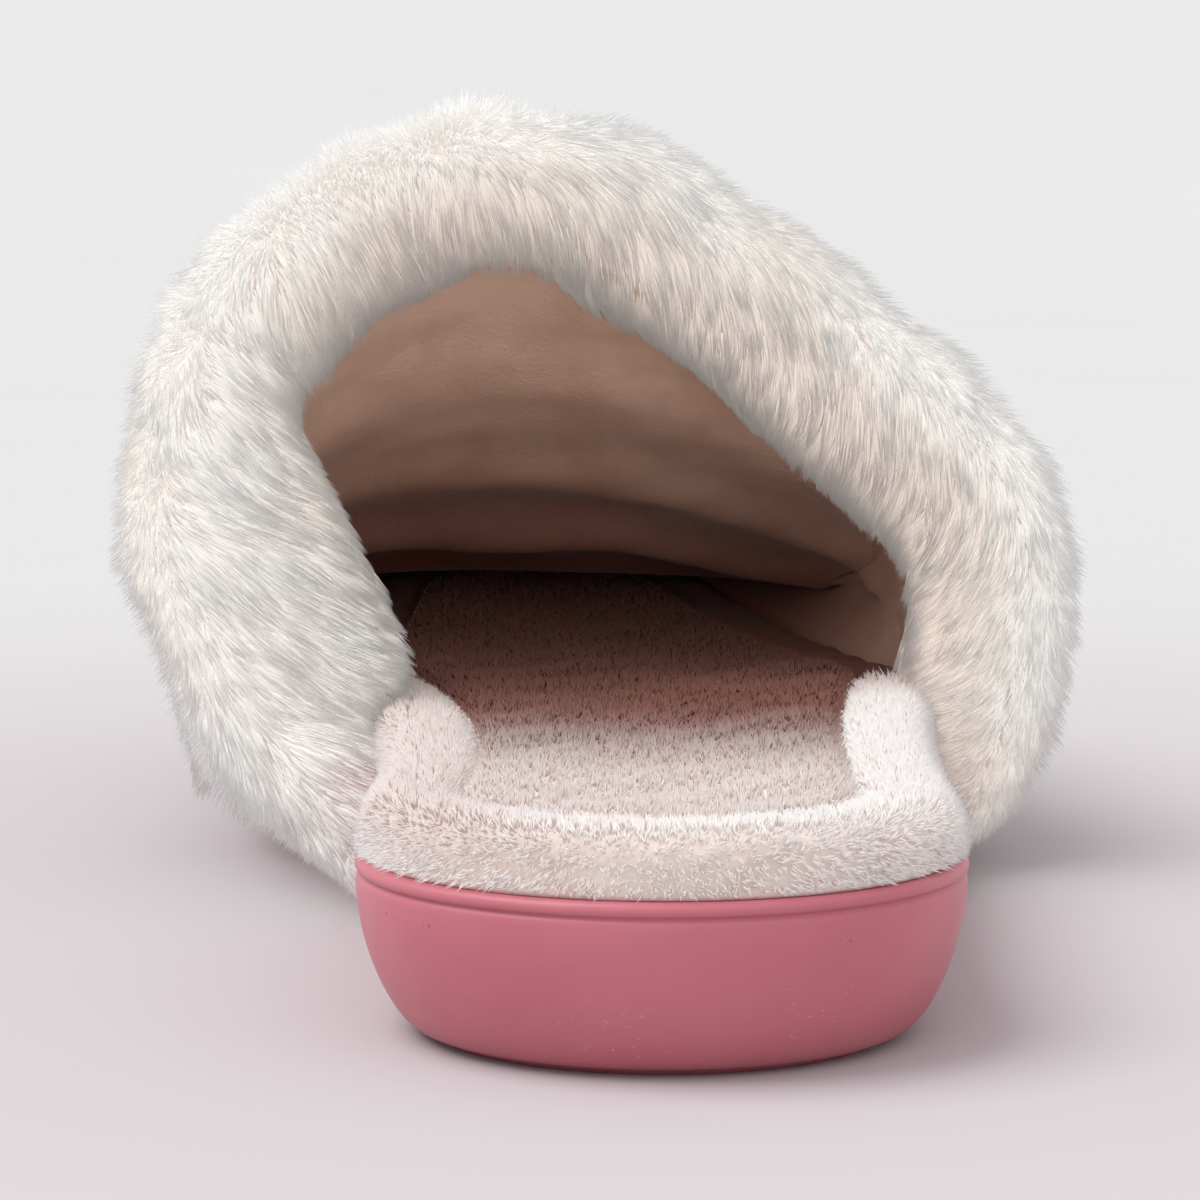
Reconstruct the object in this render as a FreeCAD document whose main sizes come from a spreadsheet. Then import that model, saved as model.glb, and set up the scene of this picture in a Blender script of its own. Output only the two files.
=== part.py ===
"""Fluffy house slipper for the right foot: a backless mule on a moulded cup sole.

Frame: +Y points to the toe, +X to the outer (lateral) side, +Z up.  The origin lies on the
ground, under the middle of the sole outline.  All lengths are in millimetres.

Every layer of the sole has the same outline, drawn as tangent arcs, so a layer that is set
in by some distance keeps that distance all round.  From the flex line forward the layers
bend up together about one axis, which gives the toe its spring.  The upper is a set of
nested domes that grow out of the same outline.
"""

import FreeCAD, Part
import math
import os

import Sketcher
from FreeCAD import Placement, Rotation, Vector

# alias, value, what it is
SIZES = [
    ("soleLength", 258.0, "cup sole, heel to toe"),
    ("heelWidth", 69.0, "cup sole across the heel"),
    ("ballWidth", 92.0, "cup sole across the ball of the foot"),
    ("toeRadius", 31.0, "outline radius at the toe"),
    ("toeShift", 9.0, "toe centre, towards the inner side"),
    ("outerBallRadius", 40.0, "outline radius at the little toe joint"),
    ("outerBallPlace", 22.0, "little toe joint, forward of the middle"),
    ("innerBallRadius", 35.0, "outline radius at the big toe joint"),
    ("innerBallPlace", 42.0, "big toe joint, forward of the middle"),
    ("outerWaistRadius", 800.0, "hollow of the outer waist"),
    ("innerWaistRadius", 320.0, "hollow of the inner waist"),
    ("flexPlace", 36.0, "flex line, forward of the middle"),
    ("springRadius", 420.0, "bend of the forefoot above the ground"),
    ("treadThickness", 2.6, "outsole sheet"),
    ("treadInset", 7.6, "tread edge inside the rim outline"),
    ("treadRound", 1.2, "lower edge of the tread"),
    ("barWidth", 3.2, "tread groove width"),
    ("barDepth", 1.1, "tread groove depth"),
    ("barPitch", 8.0, "tread groove spacing"),
    ("heelBarLength", 32.0, "tread groove length under the heel"),
    ("ballBarLength", 54.0, "tread groove length under the ball"),
    ("cupHeight", 20.0, "rim of the cup above the ground"),
    ("cupWall", 6.0, "wall of the cup at the rim"),
    ("cupFloor", 5.0, "floor of the cup"),
    ("cupUpright", 3.5, "height of the upright edge below the rim"),
    ("cupDraft", 9.0, "slope of the cup wall below that, degrees"),
    ("cupRound", 7.0, "rounding under the cup wall"),
    ("rimRound", 0.9, "rounding of the rim"),
    ("rimLip", 1.5, "height of the lip above the rim groove"),
    ("rimGroove", 0.5, "height of the groove below the lip"),
    ("grooveFloor", 0.6, "floor of that groove inside the rim outline"),
    ("fitGap", 0.3, "gap between a soft layer and its neighbour"),
    ("boardThickness", 1.2, "fibre insole board"),
    ("cushionThickness", 3.0, "footbed cushion"),
    ("sockThickness", 2.4, "short pile sock"),
    ("wrapInset", 1.2, "outer face of the plush wrap inside the rim"),
    ("wrapWidth", 11.0, "plush wrap across its roll"),
    ("wrapRise", 7.0, "plush wrap above the rim"),
    ("wrapRound", 2.8, "rounding of the roll"),
    ("threadSize", 0.7, "sewing thread"),
    ("furDepth", 15.0, "depth of the fur"),
    ("furReach", 23.0, "fur outside the ball of the sole"),
    ("hemReach", 13.0, "fur outside the sole at the hem"),
    ("furHem", 7.0, "hem of the fur above the ground"),
    ("paddingThickness", 3.0, "foam behind the fur"),
    ("liningThickness", 1.8, "fleece lining"),
    ("girthHeight", 48.5, "widest level of the upper"),
    ("throatHeight", 109.5, "top of the fur at the throat"),
    ("crestFall", 26.0, "slope of the instep down to the toes, degrees"),
    ("toeStart", 48.0, "where the upper starts to close over the toes"),
    ("crestShift", 14.0, "crest of the instep, towards the inner side"),
    ("throatPlace", -22.0, "throat at the ground, forward of the middle"),
    ("throatLean", 17.0, "lean of the throat towards the toe, degrees"),
    ("cuffWidth", 26.0, "turned fur cuff round the throat"),
    ("cuffReach", 4.0, "cuff inside the lining"),
    ("tapeWidth", 9.0, "stay tape in the cuff"),
    ("tapeThickness", 0.8, "stay tape thickness"),
]
PARTS_FOLDER = "parts"
REACH = 400.0  # longer than the slipper: how far a cutting block goes
GROUND_SIDE = Rotation(Vector(1, 1, 1), 120)  # a sketch's X and Y become world Y and Z

doc = FreeCAD.newDocument("HouseSlipper")
sheet = doc.addObject("Spreadsheet::Sheet", "Sizes")
for row, (alias, value, note) in enumerate(SIZES, 1):
    sheet.set(f"A{row}", note)
    sheet.set(f"B{row}", str(value))
    sheet.setAlias(f"B{row}", alias)
doc.recompute()


def amount(expression):
    """The number that an expression over the sheet's aliases gives."""
    return float(sheet.evalExpression(expression))


def bound(expression):
    """The same expression as an object outside the sheet writes it."""
    words = {alias for alias, _, _ in SIZES}
    parts = expression.replace("(", " ( ").replace(")", " ) ").split()
    return " ".join(f"Sizes.{word}" if word in words else word for word in parts)


# ---------------------------------------------------------------- the outline of the sole


def ball_and_heel_circles(inset):
    """Centre and radius of the four round ends of the outline, set in by some distance."""
    half = amount("soleLength / 2")
    heel, toe = amount("heelWidth / 2"), amount("toeRadius")
    outer, inner = amount("outerBallRadius"), amount("innerBallRadius")
    side = amount("ballWidth / 2")
    return {
        "heel": (Vector(0, heel - half, 0), heel - inset),
        "outer": (Vector(side - outer, amount("outerBallPlace"), 0), outer - inset),
        "toe": (Vector(-amount("toeShift"), half - toe, 0), toe - inset),
        "inner": (Vector(inner - side, amount("innerBallPlace"), 0), inner - inset),
    }


def hollow_centre(first, second, radius, side):
    """Centre of a hollow arc that touches two circles from outside, on the side given."""
    (a, ra), (b, rb) = first, second
    apart = b - a
    gap = apart.Length
    near, far = ra + radius, rb + radius
    along = (gap**2 + near**2 - far**2) / (2 * gap)
    across = math.sqrt(near**2 - along**2)
    unit = apart / gap
    return a + unit * along + Vector(unit.y, -unit.x, 0) * across * side


def straight_touch(first, second, side):
    """Where a line that touches two circles on the side given meets each of them."""
    (a, ra), (b, rb) = first, second
    apart = b - a
    gap = apart.Length
    unit = apart / gap
    lean = (ra - rb) / gap
    normal = unit * lean + Vector(unit.y, -unit.x, 0) * math.sqrt(1 - lean**2) * side
    return a + normal * ra, b + normal * rb


def outline_pieces(inset):
    """The outline's arcs and lines, anticlockwise from the heel, with each one's start point.

    Each entry is (name, shape, start, end), where start and end say which end of the shape
    comes first on the way round.
    """
    circles = ball_and_heel_circles(inset)
    hollow = {"outer": amount("outerWaistRadius") + inset, "inner": amount("innerWaistRadius") + inset}
    sides = {"outer": 1, "inner": -1}
    centre = {s: hollow_centre(circles["heel"], circles[s], hollow[s], sides[s]) for s in sides}
    touch = {s: straight_touch(circles[s], circles["toe"], sides[s]) for s in sides}

    def angle(middle, point):
        return math.atan2(point.y - middle.y, point.x - middle.x)

    def arc(middle, radius, start, end):
        """The arc that runs anticlockwise between two directions."""
        while end < start:
            end += 2 * math.pi
        return Part.ArcOfCircle(Part.Circle(middle, Vector(0, 0, 1), radius), start, end)

    def waist(s):
        heel, ball = circles["heel"][0], circles[s][0]
        ends = angle(centre[s], heel), angle(centre[s], ball)
        low, high = ends if s == "inner" else ends[::-1]
        return arc(centre[s], hollow[s], low, high)

    def round_end(name, start, end):
        middle, radius = circles[name]
        return arc(middle, radius, angle(middle, start), angle(middle, end))

    return [
        ("heel", round_end("heel", centre["inner"], centre["outer"]), 1, 2),
        ("outerWaist", waist("outer"), 2, 1),
        ("outer", round_end("outer", centre["outer"], touch["outer"][0]), 1, 2),
        ("outerToe", Part.LineSegment(*touch["outer"]), 1, 2),
        ("toe", round_end("toe", touch["outer"][1], touch["inner"][1]), 1, 2),
        ("innerToe", Part.LineSegment(*touch["inner"][::-1]), 1, 2),
        ("inner", round_end("inner", touch["inner"][0], centre["inner"]), 1, 2),
        ("innerWaist", waist("inner"), 2, 1),
    ]


def draw_outline(sketch, inset):
    """Draws the sole's outline, set in by an expression, and ties every size to the sheet."""
    pieces = outline_pieces(amount(inset))
    number = {}
    for name, shape, _, _ in pieces:
        number[name] = sketch.addGeometry(shape, False)
    for (name, _, _, end), (after, _, start, _) in zip(pieces, pieces[1:] + pieces[:1]):
        sketch.addConstraint(Sketcher.Constraint("Tangent", number[name], end, number[after], start))

    def tie(label, kind, *geometry, value, expression):
        at = sketch.addConstraint(Sketcher.Constraint(kind, *geometry, value))
        sketch.renameConstraint(at, label)
        sketch.setExpression(f"Constraints.{label}", bound(expression))

    shape_of = {name: shape for name, shape, _, _ in pieces}
    middles = {
        "heel": ("0", "heelWidth / 2 - soleLength / 2"),
        "outer": ("ballWidth / 2 - outerBallRadius", "outerBallPlace"),
        "toe": ("0 - toeShift", "soleLength / 2 - toeRadius"),
        "inner": ("innerBallRadius - ballWidth / 2", "innerBallPlace"),
    }
    for name, (across, along) in middles.items():
        for letter, kind, expression in (("X", "DistanceX", across), ("Y", "DistanceY", along)):
            if expression == "0":
                sketch.addConstraint(Sketcher.Constraint("PointOnObject", number[name], 3, -2))
                continue
            tie(name + letter, kind, -1, 1, number[name], 3, value=amount(expression), expression=expression)
    radii = {
        "heel": f"heelWidth / 2 - ( {inset} )",
        "outer": f"outerBallRadius - ( {inset} )",
        "toe": f"toeRadius - ( {inset} )",
        "inner": f"innerBallRadius - ( {inset} )",
        "outerWaist": f"outerWaistRadius + ( {inset} )",
        "innerWaist": f"innerWaistRadius + ( {inset} )",
    }
    for name, expression in radii.items():
        tie(name + "Radius", "Radius", number[name], value=shape_of[name].Radius, expression=expression)


def outline_sketch(name, inset):
    sketch = doc.addObject("Sketcher::SketchObject", name)
    draw_outline(sketch, inset)
    return sketch


def prism(name, inset, low=f"0 - {REACH / 4}", high=f"{REACH / 2}"):
    """A straight-sided block over the outline, set in by an expression."""
    block = doc.addObject("Part::Extrusion", name)
    block.Base = outline_sketch(name + "Outline", inset)
    block.DirMode = "Normal"
    block.Solid = True
    block.setExpression("LengthFwd", bound(high))
    block.setExpression("LengthRev", bound(f"0 - ( {low} )"))
    return block


# ---------------------------------------------------------------- layers with toe spring


def draw_band(sketch, low, high):
    """Side view of a layer: level under the heel, then bent up from the flex line."""
    back, flex, spring = -REACH / 2, amount("flexPlace"), amount("springRadius")
    base, top = amount(low), amount(high)
    sweep = math.radians(35)
    pivot = Vector(flex, spring, 0)

    def bent(level):
        circle = Part.Circle(pivot, Vector(0, 0, 1), spring - level)
        return Part.ArcOfCircle(circle, -math.pi / 2, sweep - math.pi / 2)

    def tip(level):
        reach = spring - level
        return pivot + Vector(math.sin(sweep), -math.cos(sweep), 0) * reach

    corner = [Vector(back, base, 0), Vector(flex, base, 0), Vector(flex, top, 0), Vector(back, top, 0)]
    floor = sketch.addGeometry(Part.LineSegment(corner[0], corner[1]), False)
    low_arc = sketch.addGeometry(bent(base), False)
    end = sketch.addGeometry(Part.LineSegment(tip(base), tip(top)), False)
    high_arc = sketch.addGeometry(bent(top), False)
    roof = sketch.addGeometry(Part.LineSegment(corner[2], corner[3]), False)
    rear = sketch.addGeometry(Part.LineSegment(corner[3], corner[0]), False)
    rule = Sketcher.Constraint
    sketch.addConstraint([
        rule("Tangent", floor, 2, low_arc, 1),
        rule("Coincident", low_arc, 2, end, 1),
        rule("Coincident", end, 2, high_arc, 2),
        rule("Tangent", roof, 1, high_arc, 1),
        rule("Coincident", roof, 2, rear, 1),
        rule("Coincident", rear, 2, floor, 1),
        rule("Coincident", low_arc, 3, high_arc, 3),
        rule("PointOnObject", low_arc, 3, end),
        rule("Horizontal", floor),
        rule("Horizontal", roof),
        rule("Vertical", rear),
        rule("DistanceX", rear, 1, -1, 1, -back),
        rule("DistanceX", low_arc, 3, end, 1, tip(base).x - flex),
    ])
    for label, kind, geometry, value, expression in (
        ("flexLine", "DistanceX", (-1, 1, low_arc, 3), flex, "flexPlace"),
        ("pivotHeight", "DistanceY", (-1, 1, low_arc, 3), spring, "springRadius"),
        ("lowRadius", "Radius", (low_arc,), spring - base, f"springRadius - ( {low} )"),
        ("highRadius", "Radius", (high_arc,), spring - top, f"springRadius - ( {high} )"),
    ):
        at = sketch.addConstraint(rule(kind, *geometry, value))
        sketch.renameConstraint(at, label)
        sketch.setExpression(f"Constraints.{label}", bound(expression))


def band(name, low, high):
    """Everything between two levels above the ground, the whole width of the slipper."""
    sketch = doc.addObject("Sketcher::SketchObject", name + "Side")
    sketch.Placement = Placement(Vector(0, 0, 0), GROUND_SIDE)
    draw_band(sketch, low, high)
    slab = doc.addObject("Part::Extrusion", name)
    slab.Base = sketch
    slab.DirMode = "Normal"
    slab.Solid = True
    slab.Symmetric = True
    slab.LengthFwd = REACH
    return slab


def common(name, base, tool):
    made = doc.addObject("Part::Common", name)
    made.Base, made.Tool = base, tool
    return made


def cut(name, base, tool):
    made = doc.addObject("Part::Cut", name)
    made.Base, made.Tool = base, tool
    return made


def layer(name, inset, low, high):
    """A flat piece of the sole between two levels."""
    return common(name, prism(name + "Block", inset), band(name + "Band", low, high))


def rounded(name, base, radius, chosen):
    """Fillets the edges of base that chosen picks, with the radius in one cell.

    Where the sizes leave no room for the whole radius, the largest share of it that gives
    a sound solid is used.
    """
    doc.recompute()
    made = doc.addObject("Part::Fillet", name)
    made.Base = base
    picked = [n for n, edge in enumerate(base.Shape.Edges, 1) if chosen(edge)]
    if not picked:
        raise ValueError(f"{name}: no edge was picked")
    for share in (1.0, 0.85, 0.7, 0.55, 0.4):
        made.Edges = [(n, amount(radius) * share, amount(radius) * share) for n in picked]
        doc.recompute()
        if made.isValid() and not made.Shape.isNull() and made.Shape.isValid():
            return made
    raise ValueError(f"{name}: no radius gives a sound solid")


def level_above_spring(point):
    """Height of a point above the bent ground surface."""
    flex, spring = amount("flexPlace"), amount("springRadius")
    if point.y <= flex:
        return point.z
    return spring - math.hypot(point.y - flex, point.z - spring)


def at_level(level):
    """Picks the edges that run all along at one level above the bent ground."""

    def chosen(edge):
        first, last = edge.ParameterRange
        points = [edge.valueAt(first + (last - first) * share) for share in (0.1, 0.5, 0.9)]
        on_flex_line = all(abs(p.y - amount("flexPlace")) < 0.01 for p in points)
        return not on_flex_line and all(abs(level_above_spring(p) - level) < 0.02 for p in points)

    return chosen


# ---------------------------------------------------------------- the domes of the upper


def half_reach(y, grow, side, hollow):
    """How far the outline, grown by some distance, reaches from the middle line at one y.

    With hollow false the sides run straight back from the ball instead of following the
    waist, as the upper does above the sole.
    """
    circles = ball_and_heel_circles(-grow)
    ball, toe = circles["outer" if side > 0 else "inner"], circles["toe"]
    at_ball, at_toe = straight_touch(ball, toe, side)
    if y >= at_toe.y:
        return toe[0].x * side + math.sqrt(max(toe[1]**2 - (y - toe[0].y)**2, 0))
    if y >= at_ball.y:
        share = (y - at_ball.y) / (at_toe.y - at_ball.y)
        return side * (at_ball.x + (at_toe.x - at_ball.x) * share)
    if y >= ball[0].y or not hollow:
        return side * ball[0].x + math.sqrt(max(ball[1]**2 - max(y - ball[0].y, 0)**2, 0))
    radius = amount("outerWaistRadius" if side > 0 else "innerWaistRadius") - grow
    middle = hollow_centre(circles["heel"], ball, radius, side)
    if y >= middle.y + (ball[0].y - middle.y) * radius / (radius + ball[1]):
        return side * ball[0].x + math.sqrt(ball[1]**2 - (y - ball[0].y)**2)
    return side * middle.x - math.sqrt(radius**2 - (y - middle.y)**2)


def bent(level, y):
    """Height above the ground of a level at one y, with the toe spring."""
    flex, spring = amount("flexPlace"), amount("springRadius")
    return spring - math.sqrt((spring - level)**2 - max(y - flex, 0)**2)


def dome_ring(y, tip, foot, base, girth_grow, top):
    """One cross section of a dome: a closed ring of points that starts at its crest."""
    girth, shift = amount("girthHeight"), amount("crestShift")
    throat_y = amount("throatPlace + throatHeight * tan(throatLean * 1deg)")
    start = amount("toeStart")
    crest = top - max(min(y, start) - throat_y, 0) * amount("tan(crestFall * 1deg)")
    share = max(y - start, 0) / (tip - start)
    crest = girth + (crest - girth) * (1 - min(share, 1)**1.6)**(1 / 1.6)
    floor = girth - (girth - foot) * (1 - min(share, 1)**5)**0.2
    middle = -amount("toeShift") * min(max(y / amount("soleLength / 2 - toeRadius"), 0), 1)
    ring = []
    for side in (1, -1):
        wide = half_reach(y, girth_grow, side, False) - side * middle
        narrow = max(half_reach(y, base, side, True) - side * middle, 0.5 * wide)
        points = [(share * narrow, 0.0) for share in (0.35, 0.75)]
        for step in range(6):
            rise = step / 6
            points.append((narrow + (wide - narrow) * math.sin(rise * math.pi / 2), rise))
        flank = [(middle + side * x, floor + (girth - floor) * rise) for x, rise in points]
        for step in range(8):
            turn = math.radians(90 * step / 8)
            x, rise = math.cos(turn)**(2 / 1.8), math.sin(turn)**(2 / 1.8)
            lean = shift * rise * min(wide / amount("ballWidth / 2"), 1)
            flank.append((middle + side * wide * x - lean, girth + (crest - girth) * rise))
        if side > 0:
            lean = shift * min(wide / amount("ballWidth / 2"), 1)
            ring = [(middle, floor)] + flank + [(middle - lean, crest)]
        else:
            ring += flank[::-1]
    half = len(ring) // 2
    ring = ring[half:] + ring[:half]
    return [Vector(x, y, bent(level, y)) for x, level in ring]


def dome(name, foot, base, girth_grow, top):
    """A closed dome over the sole, made as one smooth surface on a net of points.

    The rings run from behind the throat to the tip, where the net closes in one point.
    """
    back = amount("throatPlace") - 30
    tip = amount("soleLength / 2") + girth_grow
    steps = 22
    places = [back + (tip - back) * math.sin(math.radians(90 * n / steps)) for n in range(steps)]
    rings = [dome_ring(y, tip, foot, base, girth_grow, top) for y in places]
    end = Vector(-amount("toeShift"), tip, bent(amount("girthHeight"), tip))
    count = len(rings[0])
    rings.append([end] * count)
    net = Part.BSplineSurface()
    inner_knots = steps + 1 - 3
    net.buildFromPolesMultsKnots(
        rings,
        [4] + [1] * (inner_knots - 1) + [4],
        [1] * (count + 1),
        list(range(inner_knots + 1)),
        list(range(count + 1)),
        False,
        True,
        3,
        3,
    )
    skin = net.toShape()
    rear = net.uIso(net.bounds()[0]).toShape()
    cap = Part.Face(Part.Wire([rear]))
    shell = Part.makeShell([skin, cap])
    solid = Part.makeSolid(shell)
    if solid.Volume < 0:
        solid.reverse()
    made = doc.addObject("Part::Feature", name)
    made.Shape = solid
    return made


# ---------------------------------------------------------------- the sole

rim = "cupHeight"
floor_top = "treadThickness + cupFloor"
board_top = "cupHeight + boardThickness"
cushion_top = "cupHeight + boardThickness + cushionThickness"
sock_top = "cupHeight + boardThickness + cushionThickness + sockThickness"
wrap_top = "cupHeight + wrapRise"
bed_inset = "wrapInset + wrapWidth + fitGap"

# Tread: a sheet with a rounded lower edge and cross grooves where it lies flat.
tread_sheet = layer("TreadSheet", "treadInset", "0", "treadThickness")
tread_sheet = rounded("TreadRounded", tread_sheet, "treadRound", at_level(0))


def groove_bars(name, length, first, count):
    """A row of cross bars that cut the tread's grooves, as one body."""
    body = doc.addObject("PartDesign::Body", name)
    ground = next(f for f in body.Origin.OriginFeatures if f.Role == "XY_Plane")
    sketch = body.newObject("Sketcher::SketchObject", name + "Sketch")
    sketch.AttachmentSupport = [(ground, "")]
    sketch.MapMode = "FlatFace"
    half, wide, start = amount(length) / 2, amount("barWidth"), amount(first)
    corner = [Vector(-half, start, 0), Vector(half, start, 0)]
    corner += [Vector(half, start + wide, 0), Vector(-half, start + wide, 0)]
    lines = [Part.LineSegment(a, b) for a, b in zip(corner, corner[1:] + corner[:1])]
    sketch.addGeometry(lines, False)
    rule = Sketcher.Constraint
    sketch.addConstraint([rule("Coincident", n, 2, (n + 1) % 4, 1) for n in range(4)])
    sketch.addConstraint(rule("Horizontal", 2))
    sketch.addConstraint([rule("Vertical", 1), rule("Vertical", 3)])
    sketch.addConstraint(rule("Symmetric", 0, 1, 0, 2, -2))
    for label, kind, geometry, value, expression in (
        ("across", "DistanceX", (0, 1, 0, 2), 2 * half, length),
        ("width", "DistanceY", (1, 1, 1, 2), wide, "barWidth"),
        ("first", "DistanceY", (-1, 1, 0, 1), start, first),
    ):
        at = sketch.addConstraint(rule(kind, *geometry, value))
        sketch.renameConstraint(at, label)
        sketch.setExpression(f"Constraints.{label}", bound(expression))
    bar = body.newObject("PartDesign::Pad", name + "Bar")
    bar.Profile = sketch
    bar.setExpression("Length", bound("barDepth"))
    row = body.newObject("PartDesign::LinearPattern", name + "Row")
    row.Originals = [bar]
    row.Direction = (sketch, ["V_Axis"])
    row.Occurrences = count
    row.setExpression("Length", bound(f"barPitch * {count - 1}"))
    body.Tip = row
    return body


heel_bars = groove_bars("HeelBars", "heelBarLength", "20 - soleLength / 2", 7)
ball_bars = groove_bars("BallBars", "ballBarLength", "flexPlace - 4 * barPitch - barWidth", 5)
tread = cut("OutsoleTread", cut("TreadHeel", tread_sheet, heel_bars), ball_bars)

# Cup: an upright edge at the rim, drafted and rounded below it.
cup_block = prism("CupBlock", "0", "cupUpright - cupHeight", "3 * cupHeight")
cup_block.setExpression("Placement.Base.z", bound("cupHeight - cupUpright"))
cup_block.setExpression("TaperAngleRev", bound("0 - cupDraft"))
cup = common("CupHull", cup_block, band("CupBand", "treadThickness", rim))
cup = rounded("CupUnder", cup, "cupRound", at_level(amount("treadThickness")))
cup = cut("CupHollow", cup, layer("CupCavity", "cupWall", floor_top, f"{rim} + 10"))
cup = rounded("CupRim", cup, "rimRound", at_level(amount(rim)))
groove_low, groove_high = "cupHeight - rimLip - rimGroove", "cupHeight - rimLip"
groove_out = layer("GrooveOut", "0 - 2", groove_low, groove_high)
groove_in = prism("GrooveIn", "grooveFloor")
cup = cut("CupMidsole", cup, cut("GrooveRing", groove_out, groove_in))

platform = layer("PlatformFoam", "cupWall + fitGap", floor_top, rim)
board = layer("InsoleBoard", bed_inset, rim, board_top)
cushion = layer("FootbedCushion", bed_inset, board_top, cushion_top)

# Seam thread: a ring let into the edge of the sock, beside the wrap.
thread_low = f"{sock_top} - threadSize"
thread_out = layer("SeamOut", bed_inset, thread_low, sock_top)
thread_in = prism("SeamIn", f"{bed_inset} + threadSize")
sock_thread = cut("SockSeamThread", thread_out, thread_in)
sock = cut("SockCover", layer("SockLayer", bed_inset, cushion_top, sock_top), sock_thread)

# Wrap: a plush roll that stands on the rim and the edge of the platform.
wrap_ring = cut(
    "WrapRing",
    layer("WrapOut", "wrapInset", rim, wrap_top),
    prism("WrapIn", "wrapInset + wrapWidth"),
)
wrap = rounded("PlatformWrap", wrap_ring, "wrapRound", at_level(amount(wrap_top)))

# ---------------------------------------------------------------- the upper

fur_top = amount("throatHeight")
wrap_level = amount(wrap_top)


def inner_dome(name, expression):
    """The dome that lies inside the fur by some distance and stands on the wrap."""
    inside = amount(expression)
    reach = amount("furReach - furDepth") - inside
    return dome(name, wrap_level - 8, -inside, reach, fur_top - amount("furDepth") - inside)


fur_skin = dome("FurSkin", amount("furHem") - 8, amount("hemReach"), amount("furReach"), fur_top)
fur_inside = inner_dome("FurInside", "0")
padding_skin = inner_dome("PaddingSkin", "fitGap")
padding_inside = inner_dome("PaddingInside", "fitGap + paddingThickness")
lining_skin = inner_dome("LiningSkin", "2 * fitGap + paddingThickness")
lining_inside = inner_dome("LiningInside", "2 * fitGap + paddingThickness + liningThickness")
cuff_inside_at = "2 * fitGap + paddingThickness + liningThickness + cuffReach"
cuff_inside = inner_dome("CuffInside", cuff_inside_at)


def leaning_block(name, start, width):
    """A slab across the slipper that leans with the throat."""
    slab = doc.addObject("Part::Box", name)
    lean = "throatLean * 1deg"
    slab.Placement = Placement(Vector(-REACH / 2, 0, 0), Rotation(Vector(1, 0, 0), -amount("throatLean")))
    slab.Length = REACH
    slab.Height = REACH
    slab.setExpression("Width", bound(width))
    slab.setExpression("Placement.Base.y", bound(f"throatPlace + ( {start} )") + f" * cos(Sizes.{lean})")
    slab.setExpression("Placement.Base.z", "0 - (" + bound(start) + f") * sin(Sizes.{lean})")
    slab.setExpression("Placement.Rotation.Angle", f"0 deg - Sizes.{lean}")
    return slab


cuff_slab = leaning_block("CuffSlab", "0", "cuffWidth")
front_of_cuff = leaning_block("FrontOfCuff", "cuffWidth + fitGap", f"{REACH}")
above_hem = band("AboveHem", "furHem", f"{REACH / 2}")
above_wrap = band("AboveWrap", wrap_top, f"{REACH / 2}")
sole_room = layer("SoleRoom", "0 - fitGap", "0", wrap_top)


def shell_part(name, skin, inside, slab, above):
    """The part of the shell between two domes that lies in a slab and above a level."""
    piece = common(name + "Above", skin, above)
    return cut(name, common(name + "Slice", piece, slab), inside)


# Stay tape: a strip in the middle of the cuff, half way through the padding.
tape_start = "cuffWidth / 2 - tapeWidth / 2"
tape_skin = inner_dome("TapeSkin", "fitGap + paddingThickness / 2")
tape_inside = inner_dome("TapeInside", "fitGap + paddingThickness / 2 + tapeThickness")
tape_slab = leaning_block("TapeSlab", tape_start, "tapeWidth")
tape = shell_part("ToplineTape", tape_skin, tape_inside, tape_slab, above_wrap)

cuff_body = shell_part("CuffBody", fur_skin, cuff_inside, cuff_slab, above_hem)
cuff = cut("FurCuff", cut("CuffOnSole", cuff_body, sole_room), tape)

fur_body = shell_part("FurBody", fur_skin, fur_inside, front_of_cuff, above_hem)
fur = cut("FurVamp", fur_body, sole_room)
padding = shell_part("VampPadding", padding_skin, padding_inside, front_of_cuff, above_wrap)

# Cuff seam: a thread let into the rear edge of the lining.
seam_slab = leaning_block("SeamSlab", "cuffWidth + fitGap", "threadSize")
seam_inside = inner_dome("SeamInside", "2 * fitGap + paddingThickness + threadSize")
cuff_thread = shell_part("CuffSeamThread", lining_skin, seam_inside, seam_slab, above_wrap)
lining_body = shell_part("LiningBody", lining_skin, lining_inside, front_of_cuff, above_wrap)
lining = cut("VampLining", lining_body, cuff_thread)

# ---------------------------------------------------------------- the parts

PARTS = {
    "outsole_tread": tread,
    "cup_midsole": cup,
    "platform_foam": platform,
    "insole_board": board,
    "footbed_cushion": cushion,
    "sock_cover": sock,
    "sock_seam_thread": sock_thread,
    "platform_wrap": wrap,
    "fur_vamp": fur,
    "vamp_padding": padding,
    "vamp_lining": lining,
    "cuff_seam_thread": cuff_thread,
    "fur_cuff": cuff,
    "topline_tape": tape,
}

doc.recompute()
for item in doc.Objects:
    if "Invalid" in item.State or "Error" in item.State:
        raise RuntimeError(f"{item.Name} did not recompute: {item.State}")
for node, item in PARTS.items():
    item.Label = node
    shape = item.Shape
    if shape.isNull() or not shape.isValid() or len(shape.Solids) != 1:
        raise RuntimeError(f"{node} is not one valid solid: {len(shape.Solids)}")
    box = shape.optimalBoundingBox(False)
    print(f"{node}: {shape.Volume / 1000:.1f} cm3, z {box.ZMin:.1f} to {box.ZMax:.1f}")

os.makedirs(PARTS_FOLDER, exist_ok=True)
for node, item in PARTS.items():
    item.Shape.exportStep(os.path.join(PARTS_FOLDER, node + ".step"))
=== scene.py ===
import math

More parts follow.
